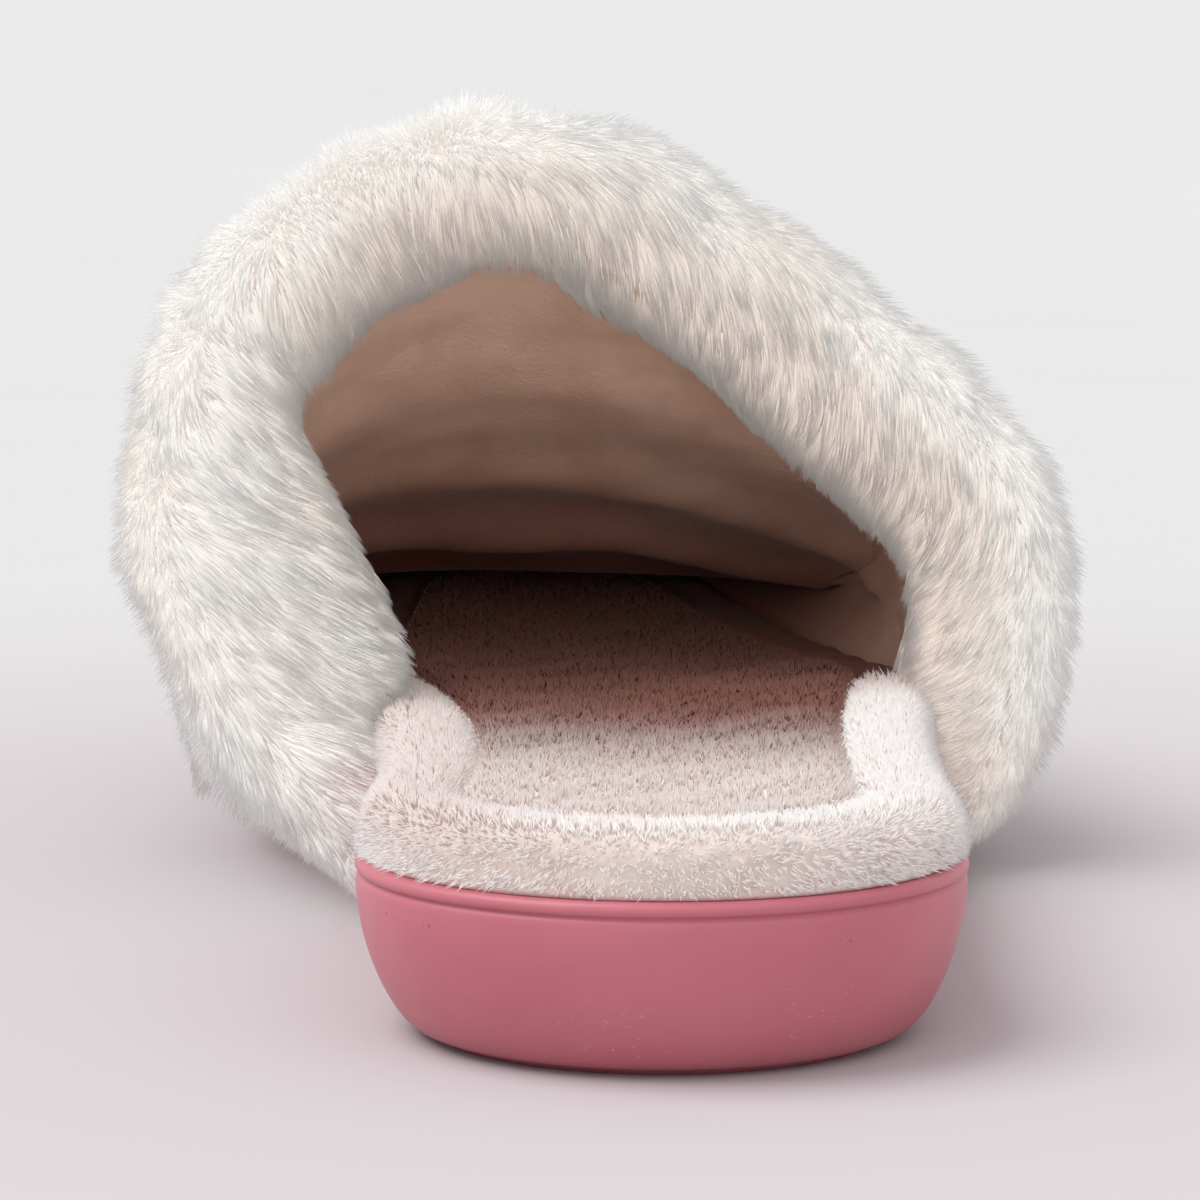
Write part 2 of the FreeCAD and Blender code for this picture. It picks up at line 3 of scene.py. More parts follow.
import bpy
import numpy as np
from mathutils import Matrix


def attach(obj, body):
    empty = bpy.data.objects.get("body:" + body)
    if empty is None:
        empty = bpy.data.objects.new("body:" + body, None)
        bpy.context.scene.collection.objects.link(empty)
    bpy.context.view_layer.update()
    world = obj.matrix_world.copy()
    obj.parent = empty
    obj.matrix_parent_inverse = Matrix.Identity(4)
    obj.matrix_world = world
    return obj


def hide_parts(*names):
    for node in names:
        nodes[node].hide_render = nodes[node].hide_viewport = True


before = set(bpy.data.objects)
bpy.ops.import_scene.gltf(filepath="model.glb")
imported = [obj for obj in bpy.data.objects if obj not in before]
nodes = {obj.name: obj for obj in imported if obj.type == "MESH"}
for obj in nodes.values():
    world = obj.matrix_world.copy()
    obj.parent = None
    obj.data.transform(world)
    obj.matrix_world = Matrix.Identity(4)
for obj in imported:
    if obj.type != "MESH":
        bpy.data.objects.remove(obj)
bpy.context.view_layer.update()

millimetre = 0.001

# The slipper's own sizes in millimetres. The sole outline is four round ends joined by two
# hollow waists and two straight toe lines; the upper is a dome that grows out of it.
sole = {
    "length": 258, "heelWidth": 69, "ballWidth": 92, "toeRadius": 31, "toeShift": 9,
    "outerRadius": 40, "outerPlace": 22, "innerRadius": 35, "innerPlace": 42,
    "outerWaist": 800, "innerWaist": 320, "flexPlace": 36, "springRadius": 420,
    "rimLevel": 20.0, "wrapLevel": 27.0, "sockLevel": 26.6,
}
upper = {
    "hemLevel": 7, "hemReach": 13, "reach": 23, "depth": 15, "girth": 48.5, "top": 109.5,
    "fall": 26, "toeStart": 48, "shift": 14, "throat": -22, "lean": 17,
    "liningInside": 5.4,
}


def fade(x, low, high):
    # smooth step from 0 at low to 1 at high
    t = np.clip((np.asarray(x, float) - low) / (high - low), 0, 1)
    return t * t * (3 - 2 * t)


def unit(v):
    return v / np.maximum(np.linalg.norm(v, axis=-1, keepdims=True), 1e-9)


def waves(points, size, seed, count=7):
    # soft noise from -1 to 1: a sum of sines that run in random directions, about one
    # wave per size millimetres
    draw = np.random.default_rng(seed)
    ways = unit(draw.normal(size=(count, 3))) * (2 * np.pi / size) * draw.uniform(0.6, 1.5, (count, 1))
    starts = draw.uniform(0, 2 * np.pi, count)
    return np.sin(points @ ways.T + starts).sum(-1) / count * 1.6


def buildMesh(name, points, faces, material, uv=None):
    # points in millimetres; faces is a list of whole-number arrays, one row a face
    mesh = bpy.data.meshes.new(name)
    corners = np.concatenate([f.ravel() for f in faces]).astype(np.int32)
    sizes = np.concatenate([np.full(len(f), f.shape[1]) for f in faces]).astype(np.int32)
    starts = np.concatenate([[0], np.cumsum(sizes)[:-1]]).astype(np.int32)
    mesh.vertices.add(len(points))
    mesh.vertices.foreach_set("co", (np.asarray(points) * millimetre).astype(np.float32).ravel())
    mesh.loops.add(len(corners))
    mesh.loops.foreach_set("vertex_index", corners)
    mesh.polygons.add(len(sizes))
    mesh.polygons.foreach_set("loop_start", starts)
    mesh.polygons.foreach_set("loop_total", sizes)
    mesh.polygons.foreach_set("use_smooth", np.full(len(sizes), True))
    mesh.update(calc_edges=True)
    if uv is not None:
        layer = mesh.uv_layers.new(name="pile")
        layer.data.foreach_set("uv", uv[corners].astype(np.float32).ravel())
    mesh.validate()
    piece = bpy.data.objects.new(name, mesh)
    bpy.context.collection.objects.link(piece)
    mesh.materials.append(material)
    return piece


def gridFaces(rows, columns, aroundRows=False, aroundColumns=False):
    # one four-sided face for each cell of a grid, with the grid closed on itself if asked
    i, j = np.meshgrid(
        np.arange(rows if aroundRows else rows - 1),
        np.arange(columns if aroundColumns else columns - 1),
        indexing="ij",
    )
    a, b = i.ravel(), j.ravel()
    c, d = (a + 1) % rows, (b + 1) % columns
    return np.stack([a * columns + b, c * columns + b, c * columns + d, a * columns + d], 1)


def runAlong(path):
    # the distance from a path's start to each of its points
    return np.concatenate([[0], np.cumsum(np.linalg.norm(np.diff(path, axis=0), axis=1))])


def chosen(spots, keep):
    return {key: values[keep] for key, values in spots.items()}


def thickened(piece, thick, offset=0):
    shell = piece.modifiers.new("thick", "SOLIDIFY")
    shell.thickness, shell.offset = thick * millimetre, offset
    return piece


def settle(piece, slotName, *replaced, fill=None):
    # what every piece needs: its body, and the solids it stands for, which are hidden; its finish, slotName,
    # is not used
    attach(piece, "root")
    if replaced:
        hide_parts(*replaced)
    return piece


def endCircles(grow):
    half, side = sole["length"] / 2, sole["ballWidth"] / 2
    return {
        "heel": (np.array([0, sole["heelWidth"] / 2 - half]), sole["heelWidth"] / 2 + grow),
        1: (np.array([side - sole["outerRadius"], sole["outerPlace"]]), sole["outerRadius"] + grow),
        -1: (np.array([sole["innerRadius"] - side, sole["innerPlace"]]), sole["innerRadius"] + grow),
        "toe": (np.array([-sole["toeShift"], half - sole["toeRadius"]]), sole["toeRadius"] + grow),
    }


def hollow(grow, side):
    # centre and radius of the waist's arc, which touches the heel and ball circles outside
    ends = endCircles(grow)
    (a, ra), (b, rb) = ends["heel"], ends[side]
    radius = sole["outerWaist" if side > 0 else "innerWaist"] - grow
    gap = np.linalg.norm(b - a)
    along = (gap**2 + (ra + radius) ** 2 - (rb + radius) ** 2) / (2 * gap)
    across = math.sqrt((ra + radius) ** 2 - along**2)
    way = (b - a) / gap
    return a + way * along + np.array([way[1], -way[0]]) * across * side, radius


def toeLine(grow, side):
    # where the straight line at the toe meets the ball circle and the toe circle
    ends = endCircles(grow)
    (a, ra), (b, rb) = ends[side], ends["toe"]
    gap = np.linalg.norm(b - a)
    way = (b - a) / gap
    lean = (ra - rb) / gap
    normal = way * lean + np.array([way[1], -way[0]]) * math.sqrt(1 - lean**2) * side
    return a + normal * ra, b + normal * rb


def reach(y, grow, side, waist=True):
    # how far the outline, grown by some distance, reaches sideways at y; without the waist
    # its sides run straight back from the ball
    y = np.asarray(y, float)
    ends = endCircles(grow)
    (ball, ballR), (toe, toeR), (heel, heelR) = ends[side], ends["toe"], ends["heel"]
    atBall, atToe = toeLine(grow, side)

    def onCircle(centre, radius):
        return side * centre[0] + np.sqrt(np.maximum(radius**2 - (y - centre[1]) ** 2, 0))

    share = (y - atBall[1]) / (atToe[1] - atBall[1])
    out = side * (atBall[0] + (atToe[0] - atBall[0]) * share)
    out = np.where(y >= atToe[1], onCircle(toe, toeR), out)
    out = np.where(y < atBall[1], onCircle(ball, ballR), out)
    if not waist:
        return np.where(y < ball[1], side * ball[0] + ballR, out)
    middle, radius = hollow(grow, side)
    low = heel[1] + (middle[1] - heel[1]) * heelR / (heelR + radius)
    high = ball[1] + (middle[1] - ball[1]) * ballR / (ballR + radius)
    inWaist = side * middle[0] - np.sqrt(np.maximum(radius**2 - (y - middle[1]) ** 2, 0))
    out = np.where(y < high, inWaist, out)
    return np.where(y < low, np.sqrt(np.maximum(heelR**2 - (y - heel[1]) ** 2, 0)), out)


def bent(level, y):
    # height above the ground of a level, which bends up from the flex line
    spring = sole["springRadius"]
    ahead = np.maximum(y - sole["flexPlace"], 0)
    return spring - np.sqrt((spring - level) ** 2 - ahead**2)


def domePoint(y, s, inside=0.0, outer=True):
    # a point of a dome's skin: y along the slipper, s from -1 at the inner foot over 0 at
    # the crest to 1 at the outer foot; the lower half widens as a quarter sine, the upper
    # half is a superellipse, and the whole closes over the toes
    y, s = np.broadcast_arrays(np.asarray(y, float), np.asarray(s, float))
    grow = upper["reach"] - inside - (0 if outer else upper["depth"])
    base = (upper["hemReach"] if outer else 0) - inside
    foot = upper["hemLevel"] - 8 if outer else sole["wrapLevel"] - 8
    top = upper["top"] - inside - (0 if outer else upper["depth"])
    tip = sole["length"] / 2 + grow
    girth, start = upper["girth"], upper["toeStart"]
    throatY = upper["throat"] + upper["top"] * math.tan(math.radians(upper["lean"]))
    crest = top - np.maximum(np.minimum(y, start) - throatY, 0) * math.tan(math.radians(upper["fall"]))
    share = np.clip((y - start) / (tip - start), 0, 1)
    crest = girth + (crest - girth) * (1 - share**1.6) ** (1 / 1.6)
    floor = girth - (girth - foot) * (1 - share**5) ** 0.2
    middle = -sole["toeShift"] * np.clip(y / (sole["length"] / 2 - sole["toeRadius"]), 0, 1)
    out = np.zeros(y.shape + (3,))
    for side in (1, -1):
        wide = reach(y, grow, side, False) - side * middle
        narrow = np.maximum(reach(y, base, side) - side * middle, 0.5 * wide)
        q = np.abs(s)
        rise = np.clip((1 - q) * 2, 0, 1)
        turn = np.clip((0.5 - q) * np.pi, 0, np.pi / 2)
        x = np.where(q > 0.5, narrow + (wide - narrow) * np.sin(rise * np.pi / 2),
                     wide * np.cos(turn) ** (2 / 1.8))
        up = np.sin(turn) ** (2 / 1.8)
        lean = upper["shift"] * np.minimum(wide / (sole["ballWidth"] / 2), 1) * up
        level = np.where(q > 0.5, floor + (girth - floor) * rise, girth + (crest - girth) * up)
        here = (s >= 0) if side > 0 else (s < 0)
        point = np.stack([middle + side * x - lean, y, bent(level, y)], -1)
        out[here] = point[here]
    return out


def throatPoint(s, ahead, inside=0.0, outer=True):
    # the dome's point that lies some distance ahead of the leaning plane of the throat
    s = np.asarray(s, float)
    tilt = math.radians(upper["lean"])
    y = np.full(s.shape, upper["throat"] + 15.0)
    for _ in range(12):
        z = domePoint(y, s, inside, outer)[..., 2]
        y = upper["throat"] + z * math.tan(tilt) + ahead / math.cos(tilt)
    return domePoint(y, s, inside, outer)


def outlinePath(count):
    # points and outward directions at even steps all round the outline of the rim
    ends = endCircles(0)
    hollows = {side: hollow(0, side) for side in (1, -1)}
    lines = {side: toeLine(0, side) for side in (1, -1)}

    def arc(centre, radius, start, end, sign):
        a0, a1 = (math.atan2(*(p - centre)[::-1]) for p in (start, end))
        if sign > 0 and a1 < a0:
            a1 += 2 * np.pi
        if sign < 0 and a1 > a0:
            a0 += 2 * np.pi
        a = np.linspace(a0, a1, 240)[:-1]
        way = np.stack([np.cos(a), np.sin(a)], 1)
        return centre + way * radius, way * sign

    def straight(start, end):
        share = np.linspace(0, 1, 240)[:-1, None]
        way = (end - start) / np.linalg.norm(end - start)
        return start + (end - start) * share, np.tile([way[1], -way[0]], (239, 1))

    touch = {}
    for side in (1, -1):
        centre = hollows[side][0]
        for place in ("heel", side):
            middle, radius = ends[place]
            touch[side, place] = middle + (centre - middle) / np.linalg.norm(centre - middle) * radius
    parts = [
        arc(*ends["heel"], touch[-1, "heel"], touch[1, "heel"], 1),
        arc(*hollows[1], touch[1, "heel"], touch[1, 1], -1),
        arc(*ends[1], touch[1, 1], lines[1][0], 1),
        straight(*lines[1]),
        arc(*ends["toe"], lines[1][1], lines[-1][1], 1),
        straight(*lines[-1][::-1]),
        arc(*ends[-1], lines[-1][0], touch[-1, -1], 1),
        arc(*hollows[-1], touch[-1, -1], touch[-1, "heel"], -1),
    ]
    points = np.concatenate([p for p, _ in parts] + [parts[0][0][:1]])
    ways = np.concatenate([w for _, w in parts] + [parts[0][1][:1]])
    run = runAlong(points)
    at = np.linspace(0, run[-1], count, endpoint=False)
    place = np.stack([np.interp(at, run, points[:, k]) for k in (0, 1)], 1)
    way = unit(np.stack([np.interp(at, run, ways[:, k]) for k in (0, 1)], 1))
    return place, way


def carried(profile, count):
    # a profile of (inset, level) carried round the outline and bent up with the sole
    place, way = outlinePath(count)
    inset, level = profile[:, 0], profile[:, 1]
    flat = place[:, None, :] - way[:, None, :] * inset[None, :, None]
    return np.concatenate([flat, bent(level[None, :], flat[..., 1])[..., None]], -1)


def gridNormals(grid, aroundRows=False, aroundColumns=False):
    # outward directions of a grid's points, from the steps to its neighbours
    def step(axis, around):
        if around:
            return np.roll(grid, -1, axis) - np.roll(grid, 1, axis)
        return np.gradient(grid, axis=axis)

    return unit(np.cross(step(0, aroundRows), step(1, aroundColumns)))


def scatter(grid, count, seed, aroundRows=False, aroundColumns=False):
    # random places spread evenly over a grid's surface, with the direction outwards and
    # the directions along its rows and columns
    draw = np.random.default_rng(seed)
    g = grid
    if aroundRows:
        g = np.concatenate([g, g[:1]], 0)
    if aroundColumns:
        g = np.concatenate([g, g[:, :1]], 1)
    a, b, c, d = g[:-1, :-1], g[1:, :-1], g[1:, 1:], g[:-1, 1:]
    area = np.linalg.norm(np.cross(c - a, d - b), axis=-1) / 2
    chance = np.cumsum(area.ravel())
    cell = np.searchsorted(chance, draw.uniform(0, chance[-1], count))
    i, j = np.unravel_index(np.minimum(cell, area.size - 1), area.shape)
    u, v = draw.uniform(0, 1, (2, count, 1))
    a, b, c, d = a[i, j], b[i, j], c[i, j], d[i, j]
    place = (a * (1 - u) + b * u) * (1 - v) + (d * (1 - u) + c * u) * v
    alongRows = unit((b - a) * (1 - v) + (c - d) * v)
    alongColumns = unit((d - a) * (1 - u) + (c - b) * u)
    out = unit(np.cross(alongRows, alongColumns))
    at = np.stack([(i + u[:, 0]) / area.shape[0], (j + v[:, 0]) / area.shape[1]], 1)
    return {"place": place, "out": out, "rows": alongRows, "columns": alongColumns, "at": at,
            "chance": draw.uniform(0, 1, (count, 4))}


def clumped(ends, places, size, pull, seed):
    # draws the ends of the fibres that grow near each other towards one point, so that
    # they lie in locks about size millimetres apart
    draw = np.random.default_rng(seed)
    wobble = np.stack([waves(places, size * 2.3, seed + k, 5) for k in range(3)], -1) * size * 0.45
    cell = np.floor((places + wobble) / size + draw.uniform(0, 1, 3)).astype(np.int64)
    _, group = np.unique(cell @ np.array([1, 4096, 16777216]), return_inverse=True)
    group = group.ravel()
    total = np.bincount(group)[:, None]
    centre = np.stack([np.bincount(group, ends[:, k]) for k in range(3)], 1) / total
    return ends + (centre[group] - ends) * pull


def fibres(name, paths, widths, chance, material, slotName, warm=0.0, limit=190000):
    # each path of points becomes a three-sided fibre that narrows to a point; the width
    # follows the root widths, and a long row of fibres is split into several pieces
    count, steps = paths.shape[:2]
    way = unit(paths[:, -1] - paths[:, 0])
    side = unit(np.cross(way, np.where(np.abs(way[:, 2:]) < 0.8, [[0, 0, 1]], [[1, 0, 0]])))
    other = np.cross(way, side)
    turn = chance * 2 * np.pi
    rings = steps - 1
    taper = (1 - np.arange(rings) / rings) ** 0.7
    corner = []
    for k in range(3):
        angle = (turn + k * 2 * np.pi / 3)[:, None]
        offset = side * np.cos(angle) + other * np.sin(angle)
        corner.append(paths[:, :rings] + offset[:, None] * (widths[:, None] * taper / 2)[..., None])
    body = np.stack(corner, 2).reshape(count, rings * 3, 3)
    points = np.concatenate([body, paths[:, -1:]], 1)
    each = rings * 3 + 1
    quads, tips = [], []
    for r in range(rings - 1):
        for k in range(3):
            m = (k + 1) % 3
            quads.append([r * 3 + k, r * 3 + m, r * 3 + 3 + m, r * 3 + 3 + k])
    for k in range(3):
        tips.append([(rings - 1) * 3 + k, (rings - 1) * 3 + (k + 1) % 3, rings * 3])
    tips.append([2, 1, 0])
    trianglesEach = len(quads) * 2 + len(tips)
    along = np.append(np.repeat(np.arange(rings) / rings, 3), 1.0)
    # a little random tint, plus the warm share, which is painted shade where a piece gives one
    tintAndShade = np.clip(0.25 * chance * (1 - warm) + warm, 0, 1)
    pieces = max(1, math.ceil(count * trianglesEach / limit))
    made = []
    for part in range(pieces):
        pick = np.arange(part, count, pieces)
        base = (np.arange(len(pick)) * each)[:, None, None]
        faces = [(base + np.array(tips)).reshape(-1, 3)]
        if quads:
            faces.insert(0, (base + np.array(quads)).reshape(-1, 4))
        uv = np.stack([np.repeat(tintAndShade[pick], each), np.tile(along, len(pick))], 1)
        label = name if pieces == 1 else f"{name}{part + 1}"
        piece = buildMesh(label, points[pick].reshape(-1, 3), faces, material, uv)
        piece.visible_shadow = False
        made.append(settle(piece, slotName))
    print(name, count, "fibres", count * trianglesEach, "triangles")
    return made


def colour(red, green, blue):
    # a display colour from 0 to 255 as the linear colour that the shaders want
    c = np.array([red, green, blue]) / 255
    linear = np.where(c <= 0.04045, c / 12.92, ((c + 0.055) / 1.055) ** 2.4)
    return (*map(float, linear), 1.0)


def newGroup(name, inputs, outputs):
    group = bpy.data.node_groups.new(name, "ShaderNodeTree")
    for label, kind, value in inputs:
        socket = group.interface.new_socket(label, in_out="INPUT", socket_type="NodeSocket" + kind)
        if value is not None:
            socket.default_value = value
    for label, kind in outputs:
        group.interface.new_socket(label, in_out="OUTPUT", socket_type="NodeSocket" + kind)
    return group, group.nodes.new("NodeGroupInput"), group.nodes.new("NodeGroupOutput")


def math2(tree, kind, a, b):
    made = tree.nodes.new("ShaderNodeMath")
    made.operation = kind
    for socket, value in zip(made.inputs, (a, b)):
        if isinstance(value, (int, float)):
            socket.default_value = value
        else:
            tree.links.new(value, socket)
    return made.outputs[0]


def mixColour(tree, share, a, b):
    made = tree.nodes.new("ShaderNodeMix")
    made.data_type = "RGBA"
    for socket, value in ((made.inputs[0], share), (made.inputs[6], a), (made.inputs[7], b)):
        if isinstance(value, (int, float, tuple)):
            socket.default_value = value
        else:
            tree.links.new(value, socket)
    return made.outputs[2]


def times(tree, a, b):
    return math2(tree, "MULTIPLY", a, b)


def objectPlace(tree):
    # the place on the object, whole and as its three axes
    place = tree.nodes.new("ShaderNodeTexCoord").outputs["Object"]
    parts = tree.nodes.new("ShaderNodeSeparateXYZ")
    tree.links.new(place, parts.inputs[0])
    return place, parts.outputs


def noise(tree, vector, scale, detail=3.0, rough=0.55):
    made = tree.nodes.new("ShaderNodeTexNoise")
    made.inputs["Scale"].default_value = scale
    made.inputs["Detail"].default_value = detail
    made.inputs["Roughness"].default_value = rough
    tree.links.new(vector, made.inputs["Vector"])
    return made.outputs["Fac"]


def ramp(tree, value, low, high):
    made = tree.nodes.new("ShaderNodeMapRange")
    made.interpolation_type = "SMOOTHSTEP"
    made.inputs["From Min"].default_value = low
    made.inputs["From Max"].default_value = high
    tree.links.new(value, made.inputs["Value"])
    return made.outputs["Result"]


def makePileGroup():
    # colour of a pile fibre: darker and warmer at the root, with soft patches of two tints, and mixed
    # towards the warm colour by the pile map's first coordinate, which holds a little random tint and
    # the painted shade that a piece is given
    group, start, end = newGroup(
        "pileTint",
        [("Root", "Color", None), ("Tip", "Color", None), ("Warm", "Color", None),
         ("Patch", "Float", 40.0), ("Warmth", "Float", 0.5)],
        [("Colour", "Color")],
    )
    coords = group.nodes.new("ShaderNodeTexCoord")
    pileMap = group.nodes.new("ShaderNodeUVMap")
    pileMap.uv_map = "pile"
    parts = group.nodes.new("ShaderNodeSeparateXYZ")
    group.links.new(pileMap.outputs[0], parts.inputs[0])
    patch = group.nodes.new("ShaderNodeTexNoise")
    patch.inputs["Detail"].default_value = 2.0
    group.links.new(coords.outputs["Object"], patch.inputs["Vector"])
    group.links.new(start.outputs["Patch"], patch.inputs["Scale"])
    warm = math2(group, "MULTIPLY", ramp(group, patch.outputs["Fac"], 0.42, 0.68), start.outputs["Warmth"])
    tip = mixColour(group, warm, start.outputs["Tip"], start.outputs["Warm"])
    # the pile map's first coordinate: a little random tint plus painted shade
    tintAndShadeShare = parts.outputs["X"]
    tip = mixColour(group, tintAndShadeShare, tip, start.outputs["Warm"])
    along = ramp(group, parts.outputs["Y"], 0.0, 0.62)
    root = mixColour(group, tintAndShadeShare, start.outputs["Root"], start.outputs["Warm"])
    group.links.new(mixColour(group, along, root, tip), end.inputs["Colour"])
    return group


def makeGrainGroup():
    # a fine grain and a slow unevenness on object coordinates, for colour and for bump
    group, start, end = newGroup(
        "grain",
        [("Fine", "Float", 900.0), ("Slow", "Float", 60.0), ("Mix", "Float", 0.5)],
        [("Height", "Float"), ("Mottle", "Float"), ("Speck", "Float")],
    )
    coords = group.nodes.new("ShaderNodeTexCoord")
    found = []
    for label, detail in (("Fine", 4.0), ("Slow", 3.0)):
        made = group.nodes.new("ShaderNodeTexNoise")
        made.inputs["Detail"].default_value = detail
        group.links.new(coords.outputs["Object"], made.inputs["Vector"])
        group.links.new(start.outputs[label], made.inputs["Scale"])
        found.append(made.outputs["Fac"])
    height = group.nodes.new("ShaderNodeMix")
    group.links.new(start.outputs["Mix"], height.inputs[0])
    group.links.new(found[0], height.inputs[2])
    group.links.new(found[1], height.inputs[3])
    group.links.new(height.outputs[0], end.inputs["Height"])
    group.links.new(found[1], end.inputs["Mottle"])
    group.links.new(ramp(group, found[0], 0.66, 0.74), end.inputs["Speck"])
    return group


pileGroup = makePileGroup()
grainGroup = makeGrainGroup()


def newMaterial(name, base, roughness, **sockets):
    made = bpy.data.materials.new(name)
    made.use_nodes = True
    tree = made.node_tree
    shader = tree.nodes["Principled BSDF"]
    shader.inputs["Base Color"].default_value = base
    shader.inputs["Roughness"].default_value = roughness
    for key, value in sockets.items():
        shader.inputs[key.replace("_", " ")].default_value = value
    return made, tree, shader


def useGroup(tree, group, **values):
    made = tree.nodes.new("ShaderNodeGroup")
    made.node_tree = group
    for key, value in values.items():
        made.inputs[key].default_value = value
    return made


def addBump(tree, shader, height, strength, distance):
    made = tree.nodes.new("ShaderNodeBump")
    made.inputs["Strength"].default_value = strength
    made.inputs["Distance"].default_value = distance
    tree.links.new(height, made.inputs["Height"])
    tree.links.new(made.outputs[0], shader.inputs["Normal"])


def pileMaterial(name, look):
    made, tree, shader = newMaterial(name, look["tip"], look["roughness"], Sheen_Weight=look["sheen"],
                                     Specular_IOR_Level=0.3, Subsurface_Weight=look["soft"])
    shader.inputs["Subsurface Radius"].default_value = (1.0, 0.93, 0.88)
    shader.inputs["Subsurface Scale"].default_value = 0.002
    # painted light: the pile glows a little with its own emission, which stands for light scattered inside
    # white pile
    shader.inputs["Emission Color"].default_value = look["glowColour"]
    shader.inputs["Emission Strength"].default_value = look["glow"]
    group = useGroup(tree, pileGroup, Root=look["root"], Tip=look["tip"], Warm=look["warm"],
                     Patch=look["patch"], Warmth=look["warmth"])
    tree.links.new(group.outputs["Colour"], shader.inputs["Base Color"])
    return made


def mottled(tree, group, look):
    # the base colour, mottled towards a second one
    mottle = times(tree, ramp(tree, group.outputs["Mottle"], 0.35, 0.7), look["mottle"])
    return mixColour(tree, mottle, look["base"], look["second"])


def clothMaterial(name, look):
    # a soft or moulded stuff: mottled and speckled, with grain as bump, and where the look
    # has a painted shade colour it takes over along the slipper, as painted shade further inside
    made, tree, shader = newMaterial(name, look["base"], look["roughness"],
                                     Sheen_Weight=look.get("sheen", 0.0),
                                     Specular_IOR_Level=look.get("specular", 0.3))
    group = useGroup(tree, grainGroup, Fine=look["fine"], Slow=look["slow"], Mix=look.get("mix", 0.35))
    specks = times(tree, group.outputs["Speck"], look.get("speck", 0.15))
    mixed = mixColour(tree, specks, mottled(tree, group, look), look.get("speckColour", look["second"]))
    # painted shade: darker towards one end along the slipper, over the span the look calls deep
    if "paintedShadeColour" in look:
        _, axes = objectPlace(tree)
        mixed = mixColour(tree, ramp(tree, axes["Y"], *look["deep"]), mixed, look["paintedShadeColour"])
    tree.links.new(mixed, shader.inputs["Base Color"])
    addBump(tree, shader, group.outputs["Height"], look["bump"], look["distance"])
    return made


view = {
    "place": (-24, -528, 90.5), "down": 5.52, "right": 2.25, "lens": 116.3,
    "suns": {  # where each comes from, its width in degrees and its strength
        "softSun": ((-0.62, -0.02, 1.0), 44, 2.05),
        "softFill": ((0.35, -1.0, 0.55), 90, 0.5),
    },
    "sky": 0.77, "skyColour": (1, 0.99, 0.995, 1),
}
studio = {
    "half": 9000, "near": -6000, "sweepStart": 1500, "sweepRadius": 12000, "sweepTurn": 42,
    "paper": colour(203, 203, 203), "second": colour(200, 200, 201), "slow": 2.5, "roughness": 0.9,
    # painted shade: a little darker and pinkish than the paper, it stands for the slipper's soft shadow on
    # the floor and the pink light off the cup
    "tintAndShade": colour(190, 182, 186), "paintedShadeShare": 0.75, "paintedShadeReach": (0.5, 0.06),
}


def makeCamera():
    camera = bpy.data.cameras.new("camera")
    camera.lens, camera.sensor_width = view["lens"], 36
    camera.clip_start, camera.clip_end = 0.01, 50
    holder = bpy.data.objects.new("camera", camera)
    bpy.context.collection.objects.link(holder)
    holder.location = [v * millimetre for v in view["place"]]
    holder.rotation_euler = (math.radians(90 - view["down"]), 0, math.radians(-view["right"]))
    bpy.context.scene.camera = holder


def makeSun(name):
    source, wide, power = view["suns"][name]
    lamp = bpy.data.lights.new(name, "SUN")
    lamp.energy, lamp.angle = power, math.radians(wide)
    holder = bpy.data.objects.new(name, lamp)
    bpy.context.collection.objects.link(holder)
    way = bpy.context.scene.camera.location.copy()
    way.xyz = [-v for v in source]
    holder.rotation_euler = way.to_track_quat("-Z", "Y").to_euler()


def makeStudio():
    # floor and backdrop in one sheet: flat, then a wide gentle sweep upwards
    radius, start = studio["sweepRadius"], studio["sweepStart"]
    across = np.linspace(-studio["half"], studio["half"], 61)
    turn = np.linspace(0, math.radians(studio["sweepTurn"]), 50)[1:]
    side = np.concatenate([
        np.stack([np.linspace(studio["near"], start, 60), np.zeros(60)], 1),
        np.stack([start + radius * np.sin(turn), radius - radius * np.cos(turn)], 1),
    ])
    shape = (len(across), len(side))
    grid = np.stack([np.broadcast_to(across[:, None], shape), np.broadcast_to(side[:, 0], shape),
                     np.broadcast_to(side[:, 1], shape)], -1)
    paper, tree, shader = newMaterial("studioPaper", studio["paper"], studio["roughness"],
                                      Specular_IOR_Level=0.1)
    place = tree.nodes.new("ShaderNodeTexCoord").outputs["Object"]
    mixed = mixColour(tree, noise(tree, place, studio["slow"], 2), studio["paper"], studio["second"])
    # painted shade round the slipper: the floor darkens a little, pinkish, nearer the slipper, standing for
    # its soft shadow and the pink light off the cup
    away = tree.nodes.new("ShaderNodeVectorMath")
    away.operation = "LENGTH"
    tree.links.new(place, away.inputs[0])
    near = times(tree, ramp(tree, away.outputs["Value"], *studio["paintedShadeReach"]), studio["paintedShadeShare"])
    tree.links.new(mixColour(tree, near, mixed, studio["tintAndShade"]), shader.inputs["Base Color"])
    floor = buildMesh("studioFloor", grid.reshape(-1, 3), [gridFaces(*shape)], paper)
    world = bpy.data.worlds.new("studioSky")
    world.use_nodes = True
    sky = world.node_tree.nodes["Background"]
    sky.inputs["Color"].default_value = view["skyColour"]
    sky.inputs["Strength"].default_value = view["sky"]
    bpy.context.scene.world = world


makeCamera()
for sunName in view["suns"]:
    makeSun(sunName)
makeStudio()
bpy.context.scene.view_settings.view_transform = "Standard"
print("camera and studio done")

